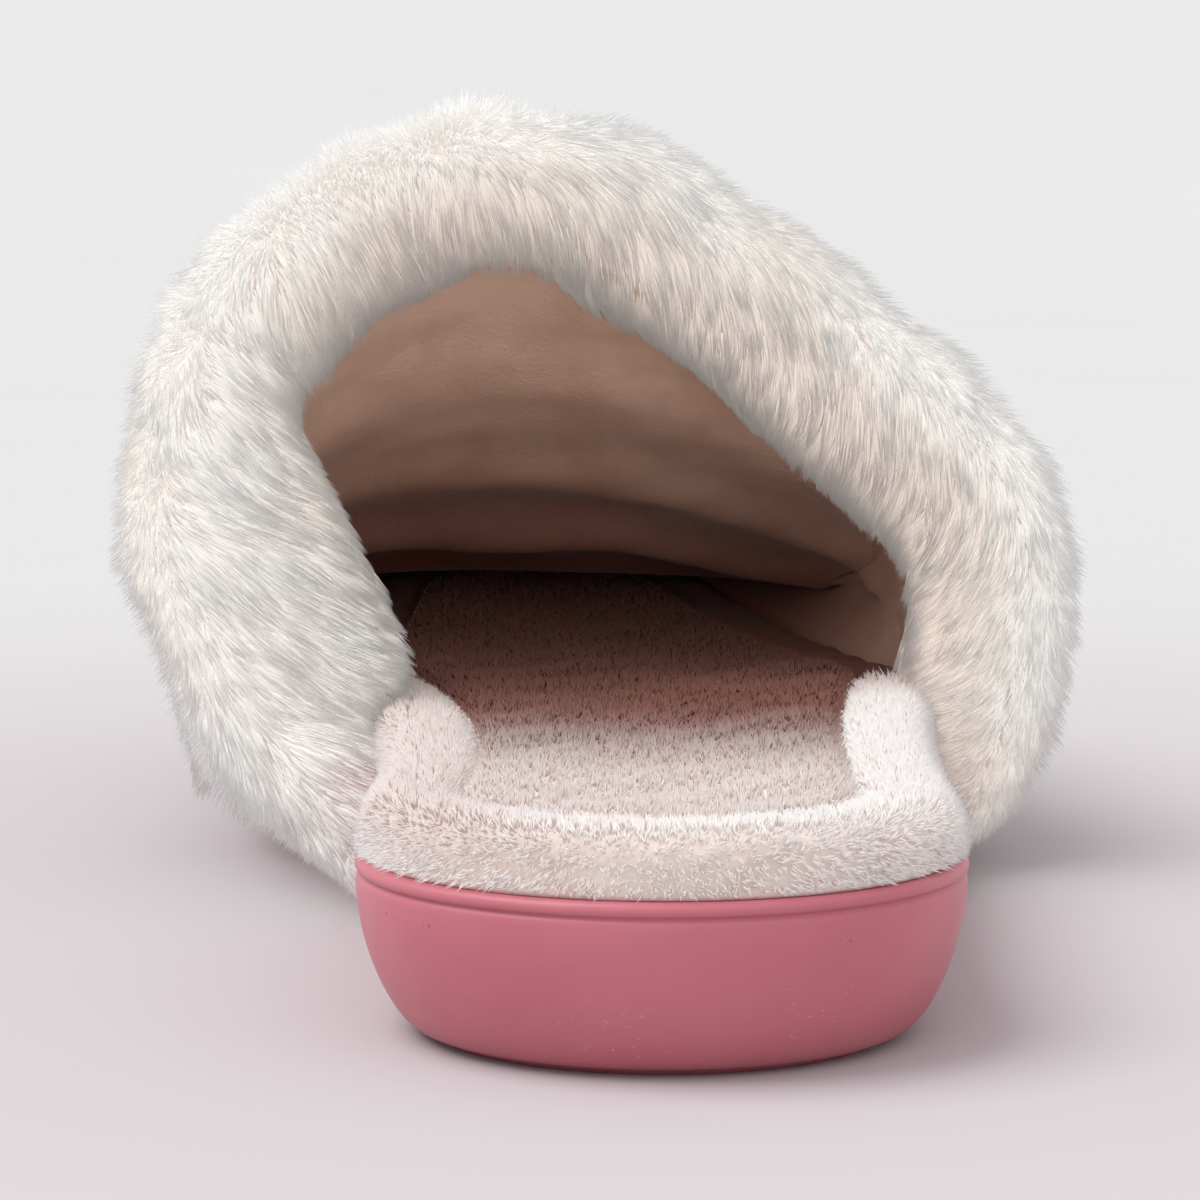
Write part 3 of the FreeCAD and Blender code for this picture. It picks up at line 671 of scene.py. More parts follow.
cup = {
    "draftLevel": 16.5, "under": 7.35, "bottomLevel": 0.6, "power": 1.65, "steps": 720, "shelf": 2.65,
    "lip": 1.5, "groove": 0.55, "grooveDepth": 0.45, "wall": 6.0, "waves": ((26, 11, 0.12), (7, 12, 0.035)),
}
cupLook = {
    "base": colour(193, 109, 120), "second": colour(184, 99, 111), "speckColour": colour(222, 160, 150),
    "roughness": 0.42, "specular": 0.45, "fine": 1500.0, "slow": 45.0, "mottle": 0.6,
    "bump": 0.12, "distance": 0.0004, "mix": 0.2, "roughLow": 0.33, "roughSpan": 0.22,
}
cupWear = {
    "fleckScale": 1100, "fleckLevels": (0.64, 0.70), "fleckStretch": (1, 1, 2.2),
    "fleckHeights": (0.013, 0.008), "patchScale": 55, "patchLevels": (0.48, 0.62), "fleckShare": 0.55,
    "pitScale": 1250, "pitLevels": (0.655, 0.70), "pitPatchScale": 85, "pitPatchLevels": (0.53, 0.58),
    "pitBottom": (0.0143, 0.0151), "pitTop": (0.0171, 0.0163), "pitShare": 0.75, "pitDeep": 2.0,
    "pitShadeColour": colour(110, 40, 52),
}


def cupPaint():
    # moulded foam: mottled, with worn flecks low on the wall and small moulding pits in a
    # short band below the groove; the pits' dark colour is painted shade inside them
    paint, tree, shader = newMaterial("pinkCup", cupLook["base"], cupLook["roughness"],
                                      Specular_IOR_Level=cupLook["specular"])
    group = useGroup(tree, grainGroup, Fine=cupLook["fine"], Slow=cupLook["slow"], Mix=cupLook["mix"])
    mixed = mottled(tree, group, cupLook)
    place, axes = objectPlace(tree)
    stretch = tree.nodes.new("ShaderNodeMapping")
    stretch.inputs["Scale"].default_value = cupWear["fleckStretch"]
    tree.links.new(place, stretch.inputs["Vector"])
    fleckNoise = noise(tree, stretch.outputs[0], cupWear["fleckScale"], 2, 0.7)
    flecks = ramp(tree, fleckNoise, *cupWear["fleckLevels"])
    patches = ramp(tree, noise(tree, place, cupWear["patchScale"], 2), *cupWear["patchLevels"])
    low = ramp(tree, axes["Z"], *cupWear["fleckHeights"])
    worn = times(tree, times(tree, times(tree, flecks, patches), low), cupWear["fleckShare"])
    mixed = mixColour(tree, worn, mixed, cupLook["speckColour"])
    pitNoise = noise(tree, place, cupWear["pitScale"], 1, 0.4)
    band = times(tree, ramp(tree, axes["Z"], *cupWear["pitBottom"]),
                 ramp(tree, axes["Z"], *cupWear["pitTop"]))
    pitPatches = ramp(tree, noise(tree, place, cupWear["pitPatchScale"], 1), *cupWear["pitPatchLevels"])
    pits = times(tree, ramp(tree, pitNoise, *cupWear["pitLevels"]), times(tree, pitPatches, band))
    # painted shade: the pits are darkened, standing for the shade inside them
    mixed = mixColour(tree, times(tree, pits, cupWear["pitShare"]), mixed, cupWear["pitShadeColour"])
    tree.links.new(mixed, shader.inputs["Base Color"])
    rough = times(tree, group.outputs["Mottle"], cupLook["roughSpan"])
    rough = math2(tree, "ADD", rough, cupLook["roughLow"])
    tree.links.new(rough, shader.inputs["Roughness"])
    height = math2(tree, "SUBTRACT", group.outputs["Height"], times(tree, pits, cupWear["pitDeep"]))
    addBump(tree, shader, height, cupLook["bump"], cupLook["distance"])
    return paint


def makeCup():
    # profile in steps of (inset, level): up inside, over the lip, a groove below it, then
    # a bowl that turns under as a quarter of a superellipse, and back inside
    rim, wall, deep, under = sole["rimLevel"], cup["wall"], cup["grooveDepth"], cup["under"]
    lipFoot = rim - cup["lip"]
    grooveFoot = lipFoot - cup["groove"]
    fall = np.linspace(0, 1, 30)[1:]
    bowlLevel = cup["draftLevel"] - (cup["draftLevel"] - cup["bottomLevel"]) * fall
    bowlInset = under * (1 - (1 - fall ** cup["power"]) ** (1 / cup["power"]))
    rows = [(wall, 8.0), (wall, 12.0), (wall, rim - 0.5), (wall - 0.3, rim - 0.1), (wall - 0.8, rim)]
    rows += [(3.0, rim), (1.2, rim), (0.5, rim - 0.05), (0.1, rim - 0.3), (-0.15, rim - 0.75)]
    rows += [(-0.1, lipFoot + 0.25), (0.1, lipFoot), (deep, lipFoot - 0.12), (deep, lipFoot - 0.3)]
    rows += [(0.12, grooveFoot), (0.0, grooveFoot - 0.35)]
    rows += [(0.0, cup["draftLevel"] + 0.6), (0.0, cup["draftLevel"])]
    rows += list(zip(bowlInset, bowlLevel))
    rows += [(under + 0.25, cup["bottomLevel"] + 0.1), (under + 0.3, cup["shelf"])]
    rows += [(under + 4, cup["shelf"]), (under + 4, 6.0), (under + 2, 7.9)]
    profile = np.array(rows, float)
    grid = carried(profile, cup["steps"])
    soft = sum(waves(grid, size, seed)[..., None] * deep for size, seed, deep in cup["waves"])
    _, way = outlinePath(cup["steps"])
    outside = fade(profile[:, 0], 7.0, 0.0)[None, :, None] * fade(profile[:, 1], 2.7, 5.0)[None, :, None]
    grid[..., :2] += way[:, None, :] * soft * outside
    faces = gridFaces(cup["steps"], len(profile), True, True)[:, ::-1]
    settle(buildMesh("cupSole", grid.reshape(-1, 3), [faces], cupPaint()), "cup_foam", "cup_midsole")
    print("cup sole done")


makeCup()

wrap = {
    "steps": 720, "outer": 1.0, "inner": 12.3, "round": 0.62, "foot": 0.6, "sink": 0.5,
    "waves": ((9, 21, 0.315), (3.2, 22, 0.154)), "fibres": 60000, "length": 1.7, "width": 0.30,
    "hidden": (0, 18), "paintedShadeAhead": (-14, 4), "paintedShadeSide": (-8, -26),
}
sock = {
    "edge": 12.2, "rows": 230, "columns": 56, "thick": 2.35, "rounding": 0.7, "roundingWide": 2.2,
    "dish": 0.5, "waves": ((17, 31, 0.3), (5, 32, 0.12)), "fibres": 45000, "length": 1.5, "width": 0.28,
    "paintedShadeAhead": (-94, -16),
}
# warm: the colour of the pile's soft patches, and the painted shade on the roll; glow is painted light
plushLook = {
    "root": colour(218, 209, 204), "tip": colour(228, 222, 219), "warm": colour(188, 156, 149),
    "patch": 60.0, "warmth": 0.15, "roughness": 0.8, "sheen": 0.15, "soft": 0.6, "glow": 0.11,
    "glowColour": colour(238, 230, 227),
}
# warm: painted shade, the dark brown that the sock's pile takes deep inside the upper
bedLook = {
    **plushLook, "root": colour(222, 209, 203), "tip": colour(240, 231, 227), "warm": colour(134, 92, 80),
    "warmth": 0.0, "sheen": 0.0, "soft": 0.0, "glow": 0.0,
}
backing = {
    "base": colour(226, 214, 209), "second": colour(214, 197, 190), "roughness": 0.9, "sheen": 0.05,
    "fine": 1300.0, "slow": 70.0, "mottle": 0.7, "bump": 0.5, "distance": 0.0006,
    # painted shade where the footbed and the roll run in under the upper
    "paintedShadeColour": colour(124, 80, 66),
}


def pileOn(name, spots, size, lean, way, material, seed, pull, clump, warm):
    # short pile: each fibre leaves its root outwards, leans a little along way, and its
    # end is drawn into a tuft
    c = spots["chance"]
    length = size["length"] * (0.75 + 0.5 * c[:, :1])
    toss = unit(spots["rows"] * (c[:, 1:2] - 0.5) + spots["columns"] * (c[:, 2:3] - 0.5))
    tip = spots["place"] + unit(spots["out"] + way * lean + toss * 0.45) * length
    tip = clumped(tip, spots["place"], clump, pull, seed)
    paths = np.stack([spots["place"] - spots["out"] * 0.15, tip], 1)
    fibres(name, paths, size["width"] * (0.7 + 0.6 * c[:, 3]), c[:, 0], material, "plush", warm)


def makeWrap():
    # profile of the roll: a flat foot on the rim, then half a superellipse over it
    low, high = sole["rimLevel"], sole["wrapLevel"]
    turn = np.linspace(0, np.pi, 30)
    width = (wrap["inner"] - wrap["outer"]) / 2
    cosine, sine = np.cos(turn), np.sin(turn)
    roll = np.stack([
        (wrap["outer"] + width) - width * np.sign(cosine) * np.abs(cosine) ** wrap["round"],
        low + wrap["foot"] + (high - low - wrap["foot"]) * np.abs(sine) ** wrap["round"],
    ], 1)
    foot = np.array([(wrap["inner"] - 0.4, low + 0.05), (8.0, low), (4.0, low),
                     (wrap["outer"] + 0.3, low + 0.05)])
    profile = np.concatenate([foot, roll])
    grid = carried(profile, wrap["steps"])
    normal = gridNormals(grid, True, True)
    raised = fade(profile[:, 1], low + 0.3, low + 3)[None, :, None]
    lumps = sum(waves(grid, size, seed)[..., None] * deep for size, seed, deep in wrap["waves"])
    grid = grid + normal * (lumps - wrap["sink"]) * raised
    faces = gridFaces(wrap["steps"], len(profile), True, True)
    # painted shade: the roll's backing darkens towards the toes, under the upper
    cloth = clothMaterial("wrapBacking", {**backing, "deep": (-0.004, 0.022)})
    settle(buildMesh("plushWrap", grid.reshape(-1, 3), [faces], cloth), "plush", "platform_wrap", fill=0.85)
    spots = scatter(carried(roll, wrap["steps"]), wrap["fibres"], 23, aroundRows=True)
    # none where the upper covers the wrap
    spots = chosen(spots, spots["chance"][:, 3] > fade(spots["place"][:, 1], *wrap["hidden"]))
    place = spots["place"]
    # painted shade: the pile turns to the warm colour ahead, under the cuff, and high on the side of
    # negative x, which the fur beside it shades
    warm = np.maximum(fade(place[:, 1], *wrap["paintedShadeAhead"]), fade(place[:, 0], *wrap["paintedShadeSide"])
                      * fade(place[:, 2], low + 1, high))
    pileOn("wrapPile", spots, wrap, 0.25, np.array([[0, 0, -1.0]]), pileMaterial("plushPile", plushLook),
           24, 0.5, 1.5, warm)
    print("plush wrap done")


def makeSock():
    # a pad over the footbed: straight rows across, a little dished, with a rounded edge
    half = sole["length"] / 2 - sock["edge"]
    y = half * np.sin(np.linspace(-np.pi / 2, np.pi / 2, sock["rows"]))
    left, right = -reach(y, -sock["edge"], -1), reach(y, -sock["edge"], 1)
    share = (1 - np.cos(np.linspace(0, np.pi, sock["columns"]))) / 2
    x = left[:, None] * (1 - share) + right[:, None] * share
    yy = np.broadcast_to(y[:, None], x.shape)
    fromEdge = np.minimum(np.minimum(x - left[:, None], right[:, None] - x), half - np.abs(yy))
    rounding = sock["rounding"] * (1 - fade(fromEdge, 0, sock["roundingWide"])) ** 2
    dish = sock["dish"] * fade(fromEdge, 4, 20)
    flat = np.stack([x, yy, np.zeros_like(x)], -1)
    soft = sum(waves(flat, size, seed) * deep for size, seed, deep in sock["waves"])
    level = sole["sockLevel"] + 0.15 - rounding - dish + soft * fade(fromEdge, 0, 4)
    top = np.stack([x, yy, bent(level, yy)], -1)
    under = np.stack([x, yy, bent(np.full_like(x, sole["sockLevel"] - sock["thick"]), yy)], -1)
    grid = np.concatenate([top, under[:, ::-1]], 1)
    faces = gridFaces(sock["rows"], sock["columns"] * 2, False, True)[:, ::-1]
    # painted shade: the backing darkens towards the toes, inside the upper
    cloth = clothMaterial("sockBacking", {**backing, "deep": (-0.085, -0.02)})
    settle(buildMesh("footbedSock", grid.reshape(-1, 3), [faces], cloth), "plush", "sock_cover", fill=0.9)
    spots = scatter(top, sock["fibres"], 33)
    spots["out"] = spots["out"] * np.sign(spots["out"][:, 2:])
    # painted shade: the pile turns dark brown towards the toes, where the upper shuts the light out
    pileOn("sockPile", spots, sock, 0.5, np.array([[0.15, -1.0, 0]]), pileMaterial("bedPile", bedLook),
           34, 0.4, 1.8, fade(spots["place"][:, 1], *sock["paintedShadeAhead"]))
    print("footbed sock done")


makeWrap()
makeSock()

stitch = {
    "pitch": 3.2, "length": 2.5, "radius": 0.36, "around": 6, "along": 7,
    "sockSeam": (12.3, 26.2), "cuffSeamAhead": 24.0, "cuffSeamReach": 0.9,
}
threadLook = clothMaterial("sewingThread", {
    "base": colour(226, 212, 205), "second": colour(206, 188, 180), "roughness": 0.7, "sheen": 0.3,
    "fine": 2600.0, "slow": 300.0, "mottle": 0.5, "bump": 0.5, "distance": 0.0002})


def makeStitches(name, path, closed, replaced):
    # short rounded stitches end to end along a path: each is a small spindle on the
    # path's own direction
    run = runAlong(path)
    count = int(run[-1] / stitch["pitch"])
    at = (np.arange(count) + 0.5) * run[-1] / count
    share = np.linspace(0, 1, stitch["along"])
    places = at[:, None] + (share - 0.5) * stitch["length"]
    if closed:
        places = places % run[-1]
    line = np.stack([np.interp(places, run, path[:, k]) for k in range(3)], -1)
    way = unit(line[:, -1] - line[:, 0])
    side = unit(np.cross(way, [[0, 0, 1]]))
    other = np.cross(side, way)
    turn = np.linspace(0, 2 * np.pi, stitch["around"], endpoint=False)
    thick = stitch["radius"] * np.sqrt(np.maximum(1 - (2 * share - 1) ** 4, 0.003))
    ring = side[:, None] * np.cos(turn)[None, :, None] + other[:, None] * np.sin(turn)[None, :, None]
    points = line[:, :, None, :] + ring[:, None] * thick[None, :, None, None]
    one = gridFaces(stitch["along"], stitch["around"], False, True)
    each = stitch["along"] * stitch["around"]
    caps = np.stack([np.arange(stitch["around"]), each - 1 - np.arange(stitch["around"])])
    base = (np.arange(count) * each)[:, None, None]
    faces = [(base + one).reshape(-1, 4), (base + caps[:, ::-1]).reshape(-1, stitch["around"])]
    settle(buildMesh(name, points.reshape(-1, 3), faces, threadLook), "thread", replaced)


seamPath = carried(np.array([stitch["sockSeam"]] * 2), 900)[:, 0]
makeStitches("sockSeamStitches", np.concatenate([seamPath, seamPath[:1]]), True, "sock_seam_thread")

# knots up the inner side, over the crest and down the outer side: x and z of the outer
# edge of the turned cuff, then x and z of its inner edge, to the ends of the pile
throat = {
    "base": -27.8, "shear": 0.30, "lean": 17.0,
    "knots": [
        (-40.5, 5.1, -36.6, 7.1), (-49.1, 16.4, -36.4, 18.1), (-56.7, 26.3, -35.5, 26.3),
        (-63.1, 40.3, -28.3, 34.5), (-67.1, 51.6, -32.3, 45), (-67.7, 62.9, -37.7, 56.6),
        (-63.6, 78.2, -42.7, 66.8), (-55.2, 91.5, -39.3, 73.6), (-43.1, 101, -31, 81.5),
        (-26, 107.8, -19.9, 86.4), (-9.6, 108.4, -10.3, 84.4), (1.9, 106.5, -4.2, 80.8),
        (12.3, 100.3, 2.5, 76.2), (24.8, 92.5, 10.6, 70.6), (38.9, 82.1, 19.8, 62.5),
        (52, 71.2, 29.5, 54.3), (60.2, 61.3, 36.2, 48.6), (64, 49.6, 38.6, 42.1),
        (63.8, 34.5, 37.7, 33.8), (60.5, 21.7, 38, 25.9), (55.8, 12.2, 39.7, 15.7),
        (50.3, 6.1, 41.3, 7.5),
    ],
}


def throatY(x, z, ahead=0.0):
    # the leaning, slightly turned plane of the throat
    return throat["base"] + throat["shear"] * x + z * math.tan(math.radians(throat["lean"])) + ahead


def inThroat(edge, ahead):
    # points of (x, z) set on the plane of the throat or some distance ahead of it
    return np.stack([edge[:, 0], throatY(edge[:, 0], edge[:, 1], ahead), edge[:, 1]], 1)


def throatRows(count):
    # the knots joined by a smooth curve, at even steps along the outer edge
    knots = np.array(throat["knots"], float)
    run = runAlong(knots[:, :2])
    slope = np.gradient(knots, run, axis=0)
    at = np.linspace(0, run[-1], count)
    k = np.clip(np.searchsorted(run, at, "right") - 1, 0, len(run) - 2)
    gap = (run[k + 1] - run[k])[:, None]
    t = ((at - run[k]) / gap[:, 0])[:, None]
    return (knots[k] * (2 * t**3 - 3 * t**2 + 1) + slope[k] * gap * (t**3 - 2 * t**2 + t)
            + knots[k + 1] * (3 * t**2 - 2 * t**3) + slope[k + 1] * gap * (t**3 - t**2))


lining = {
    "rows": 120, "columns": 120, "start": 9.0, "low": 23.5, "tuck": 5.6, "blend": 50.0, "thick": 1.5,
    "reach": 0.92, "high": 86.5, "fall": 0.56, "fallFrom": -4, "end": 127.0, "roofLow": 4.0, "roofSoft": 4,
    "folds": ((34, 6, 1.3), (54, 4.5, 2.0), (71, 4, 3.2), (86, 3, 2.0)),  # place, width and depth
    "waves": ((30, 42, 0.7), (10, 43, 0.22)), "skirt": 6, "skirtLevel": 22.0, "skirtShare": 0.97,
}
padding = {"behind": 2.3, "thick": 2.6, "end": 44.0, "first": 4, "sides": (26, -30)}
liningLook = {
    "base": colour(242, 208, 184), "second": colour(216, 176, 151), "roughness": 0.95, "sheen": 0.15,
    "fine": 1700.0, "slow": 90.0, "mottle": 0.55, "bump": 0.55, "distance": 0.0005, "mix": 0.25,
    # painted shade: the fleece darkens to brown further into the toe
    "deep": (0.022, 0.088), "paintedShadeColour": colour(126, 56, 40),
}


def liningGrid():
    # starts on the cuff's inner edge and eases into the inner dome; its roof falls in a
    # straight slope until it lies on the footbed, with soft folds across it
    both = throatRows(600)
    both = both[both[:, 3] > lining["low"]]
    rim = both[:, 2:] + unit(both[:, :2] - both[:, 2:]) * lining["tuck"]
    run = runAlong(rim)
    at = np.linspace(0, run[-1], lining["columns"])
    rim = inThroat(np.stack([np.interp(at, run, rim[:, k]) for k in (0, 1)], 1), lining["start"])
    s = np.linspace(-lining["reach"], lining["reach"], lining["columns"])
    inside = upper["liningInside"] - lining["thick"]
    share = np.sin(np.linspace(0, np.pi / 2, lining["rows"]))[:, None]
    y = rim[None, :, 1] * (1 - share) + lining["end"] * share
    grid = domePoint(y, np.broadcast_to(s, y.shape), inside, False)
    top = domePoint(y, np.zeros_like(y), inside, False)[..., 2]
    bed = bent(sole["sockLevel"], y)
    roof = lining["high"] - lining["fall"] * np.maximum(y - lining["fallFrom"], 0)
    lowest, soft = bed + lining["roofLow"], lining["roofSoft"]
    roof = lowest + np.logaddexp(0, (roof - lowest) / soft) * soft
    squeeze = np.minimum((roof - bed) / (top - bed), 1.0)
    over = np.maximum(grid[..., 2] - bed, 0)
    grid[..., 2] = np.minimum(grid[..., 2], bed) + over * squeeze
    gone = fade(y - y[:1], 0, lining["blend"])
    grid = grid + (rim[None] - grid[:1]) * (1 - gone)[..., None]
    normal = gridNormals(grid)
    centre = np.array([-5.0, 30.0, 32.0])
    normal = normal * np.sign(((grid - centre) * normal).sum(-1, keepdims=True))
    normal[normal[..., 2] < -0.2] *= -1
    high = fade(grid[..., 2] - bed, 2, 12)
    bend = waves(grid * np.array([1, 0.15, 0.3]), 55, 41) * 4
    folds = sum(deep * np.exp(-(((grid[..., 1] + bend - place) / wide) ** 2))
                for place, wide, deep in lining["folds"])
    uneven = sum(waves(grid, size, seed) * deep for size, seed, deep in lining["waves"])
    return grid - normal * ((folds + uneven) * high)[..., None]


def liningSkirts(grid):
    # the lower edges and the far end turned down below the footbed
    skirts = []
    for column in (0, -1):
        edge = grid[:, column]
        drop = np.linspace(0, 1, lining["skirt"])[1:, None, None]
        level = bent(lining["skirtLevel"], edge[:, 1])
        foot = np.stack([edge[:, 0] * lining["skirtShare"], edge[:, 1], level], -1)
        skirts.append((edge + (foot - edge) * drop).transpose(1, 0, 2))
    full = np.concatenate([skirts[0][:, ::-1], grid, skirts[1]], 1)
    last = full[-1:]
    foot = np.stack([last[..., 0], last[..., 1], bent(lining["skirtLevel"], last[..., 1])], -1)
    return np.concatenate([full, foot])


def makeLining():
    full = liningSkirts(liningGrid())
    cloth = clothMaterial("liningFleece", liningLook)
    faces = gridFaces(*full.shape[:2])[:, ::-1]
    piece = thickened(buildMesh("innerLining", full.reshape(-1, 3), [faces], cloth), lining["thick"])
    settle(piece, "lining_fleece", "vamp_lining")
    # the foam behind it follows the same shape, near the throat
    back = full - gridNormals(full) * padding["behind"]
    back = back[back[:, back.shape[1] // 2, 1] < padding["end"]]
    back = back[padding["first"]:, slice(*padding["sides"])]
    foam = clothMaterial("paddingFoam", {
        "base": colour(222, 214, 202), "second": colour(200, 190, 176), "roughness": 0.95, "fine": 900.0,
        "slow": 120.0, "mottle": 0.6, "bump": 0.7, "distance": 0.0006})
    faces = gridFaces(*back.shape[:2])[:, ::-1]
    pad = thickened(buildMesh("vampPadding", back.reshape(-1, 3), [faces], foam), padding["thick"])
    settle(pad, "inner_foam", "vamp_padding", fill=0.95)


makeLining()

tape = {"low": 29.5, "in": 6.2, "ahead": 12, "wide": 10, "thick": 0.8}


def makeTape():
    # a woven stay tape inside the cuff, along the lining's edge
    both = throatRows(400)
    both = both[both[:, 3] > tape["low"]]
    line = both[:, 2:] + unit(both[:, :2] - both[:, 2:]) * tape["in"]
    grid = np.stack([inThroat(line, tape["ahead"] + part) for part in np.linspace(0, tape["wide"], 8)], 1)
    weave = clothMaterial("stayTape", {
        "base": colour(230, 226, 218), "second": colour(208, 203, 193), "roughness": 0.85, "fine": 1200.0,
        "slow": 130.0, "mottle": 0.6, "bump": 0.6, "distance": 0.0005})
    piece = buildMesh("stayTape", grid.reshape(-1, 3), [gridFaces(*grid.shape[:2])], weave)
    settle(thickened(piece, tape["thick"]), "tape", "topline_tape")
    print("stay tape done")


makeTape()
seamReach = np.linspace(-stitch["cuffSeamReach"], stitch["cuffSeamReach"], 300)
seamLine = throatPoint(seamReach, stitch["cuffSeamAhead"], upper["liningInside"] + 0.4, False)
makeStitches("cuffSeamStitches", seamLine, False, "cuff_seam_thread")

vamp = {
    "rows": 90, "columns": 130, "skin": 6.0, "start": 12.0, "tuck": 4.5, "thick": 3.0, "reach": 0.84,
    "fibres": 50000, "length": 11.0, "width": 0.34, "blend": 55.0, "slim": 0.035, "rise": 0.4,
    "locks": (2.2, 6.0), "comb": (0.25, 0.55, -0.55),
}
# warm: the colour of the pile's soft patches, and the painted shade on the cuff's face into the opening;
# glow is painted light
furLook = {
    "root": colour(229, 225, 222), "tip": colour(231, 231, 229), "warm": colour(219, 197, 180),
    "patch": 24.0, "warmth": 0.5, "roughness": 0.7, "sheen": 0.15, "soft": 0.6, "glow": 0.15,
    "glowColour": colour(244, 246, 244),
}
furPile = pileMaterial("longPile", furLook)
furCloth = clothMaterial("furBacking", {
    "base": colour(230, 224, 220), "second": colour(222, 212, 206), "roughness": 0.95, "sheen": 0.2,
    "fine": 700.0, "slow": 50.0, "mottle": 0.6, "bump": 0.8, "distance": 0.0012})


def combed(name, spots, size, rise, flow, seed, fall, share, warm, pull):
    # long pile: each fibre leaves its root between the way out and the way it is combed,
    # bends over into that way and down, and shares locks of two sizes with its neighbours
    c = spots["chance"]
    place = spots["place"]
    sway = np.stack([waves(place, 26, seed + k) for k in range(3)], -1) * 0.28
    sway += np.stack([waves(place, 9, seed + 10 + k) for k in range(3)], -1) * 0.2
    comb = flow + sway
    comb = unit(comb - spots["out"] * (comb * spots["out"]).sum(-1, keepdims=True))
    uneven = 1 + 0.12 * waves(place, 12, seed + 5)[:, None]
    length = size["length"] * (0.75 + 0.4 * c[:, :1]) * uneven * share
    first = unit(spots["out"] * rise + comb * (1 - rise) + (c[:, 1:4] - 0.5) * 0.2)
    last = unit(comb + spots["out"] * 0.2 + np.array([[0, 0, -fall]]) + (c[:, 1:4] - 0.5) * 0.2)
    t = np.array([0, 0.5, 1.0])
    bow = first[:, None] * (t - 0.5 * t**2)[:, None] + last[:, None] * (0.5 * t**2)[:, None]
    run = place[:, None] + bow * length[:, None] * 1.1
    tip = clumped(run[:, -1], place, size["locks"][0], pull, seed + 20)
    tip = clumped(tip, place, size["locks"][1], pull * 0.6, seed + 30)
    run = run + (tip - run[:, -1])[:, None] * (t**1.6)[:, None]
    run[:, 0] -= spots["out"] * 0.6
    fibres(name, run, size["width"] * (0.65 + 0.7 * c[:, 3]), c[:, 2], furPile, "fur", warm)


def vampGrid():
    # the outer dome from the cuff to the toes; it starts on the cuff's own outer edge and
    # eases into the dome, and below the hem it turns in to the cup wall
    inside, rows, columns = vamp["skin"], vamp["rows"], vamp["columns"]
    tip = sole["length"] / 2 + upper["reach"] - inside
    s = np.linspace(-vamp["reach"], vamp["reach"], columns)
    edge = throatRows(columns)[:, :2]
    step = np.gradient(edge, axis=0)
    edge = edge + unit(np.stack([step[:, 1], -step[:, 0]], 1)) * (inside + vamp["tuck"])
    edge = inThroat(edge, vamp["start"])
    share = np.sin(np.linspace(0, np.pi / 2, rows))[:, None]
    y = edge[None, :, 1] * (1 - share) + (tip - 0.02) * share
    grid = domePoint(y, np.broadcast_to(s, y.shape), inside)
    grid[..., 0] *= 1 - vamp["slim"] * fade(grid[..., 0], 0, 45)
    gap = edge[None] - grid[:1]
    past = y - y[:1]
    outwards = unit(grid[:1] - np.array([-5.0, 0, 40.0])) * np.array([1, 0, 1])
    gap = gap + outwards * (vamp["tuck"] * fade(past, 6, 26))[..., None]
    grid = grid + gap * (1 - fade(past, 0, vamp["blend"]))[..., None]
    under = []
    for side, column in ((-1, 0), (1, -1)):
        foot = grid[:, column]
        wallX = side * np.minimum(reach(foot[:, 1], 1.6, side), np.abs(foot[:, 0]) - 0.5)
        steps = []
        for part in (0.35, 0.7, 1.0):
            x = foot[:, 0] * (1 - part) + wallX * part
            z = foot[:, 2] - 1.5 * math.sin(part * math.pi) + 1.5 * part
            steps.append(np.stack([x, foot[:, 1], z], -1))
        under.append(np.stack(steps, 1))
    return np.concatenate([under[0][:, ::-1], grid, under[1]], 1), grid


def makeVamp():
    full, seen = vampGrid()
    faces = gridFaces(*full.shape[:2])[:, ::-1]
    piece = buildMesh("furVampSkin", full.reshape(-1, 3), [faces], furCloth)
    settle(thickened(piece, vamp["thick"], -1), "fur", "fur_vamp", fill=0.5)
    spots = scatter(seen, vamp["fibres"], 51)
    centre = np.array([-5.0, 40.0, 35.0])
    spots["out"] = spots["out"] * np.sign(((spots["place"] - centre) * spots["out"]).sum(-1, keepdims=True))
    # combed towards the toes and down the sides
    aside, ahead, up = vamp["comb"]
    away = np.sign(spots["place"][:, 0] + 10.0)
    flow = np.stack([away * aside, np.full(len(away), ahead), np.full(len(away), up)], -1)
    combed("vampPile", spots, vamp, vamp["rise"], flow, 52, 0.25, 1.0, 0.0, 0.34)
    print("fur vamp done")


makeVamp()

cuff = {
    "rows": 300, "around": 72, "skinOut": 4.4, "skinIn": 3.8, "skinBack": 4.0, "deep": 27.0,
    "low": (22.5, 31.5), "thinnest": 1.6, "power": 2.4, "closing": 0.02,
    "waves": ((22, 61, 0.8), (9, 62, 0.3)),
    "fibres": 74000, "length": 10.0, "width": 0.32, "locks": (2.0, 4.6), "hidden": (1.15, 1.52),
}


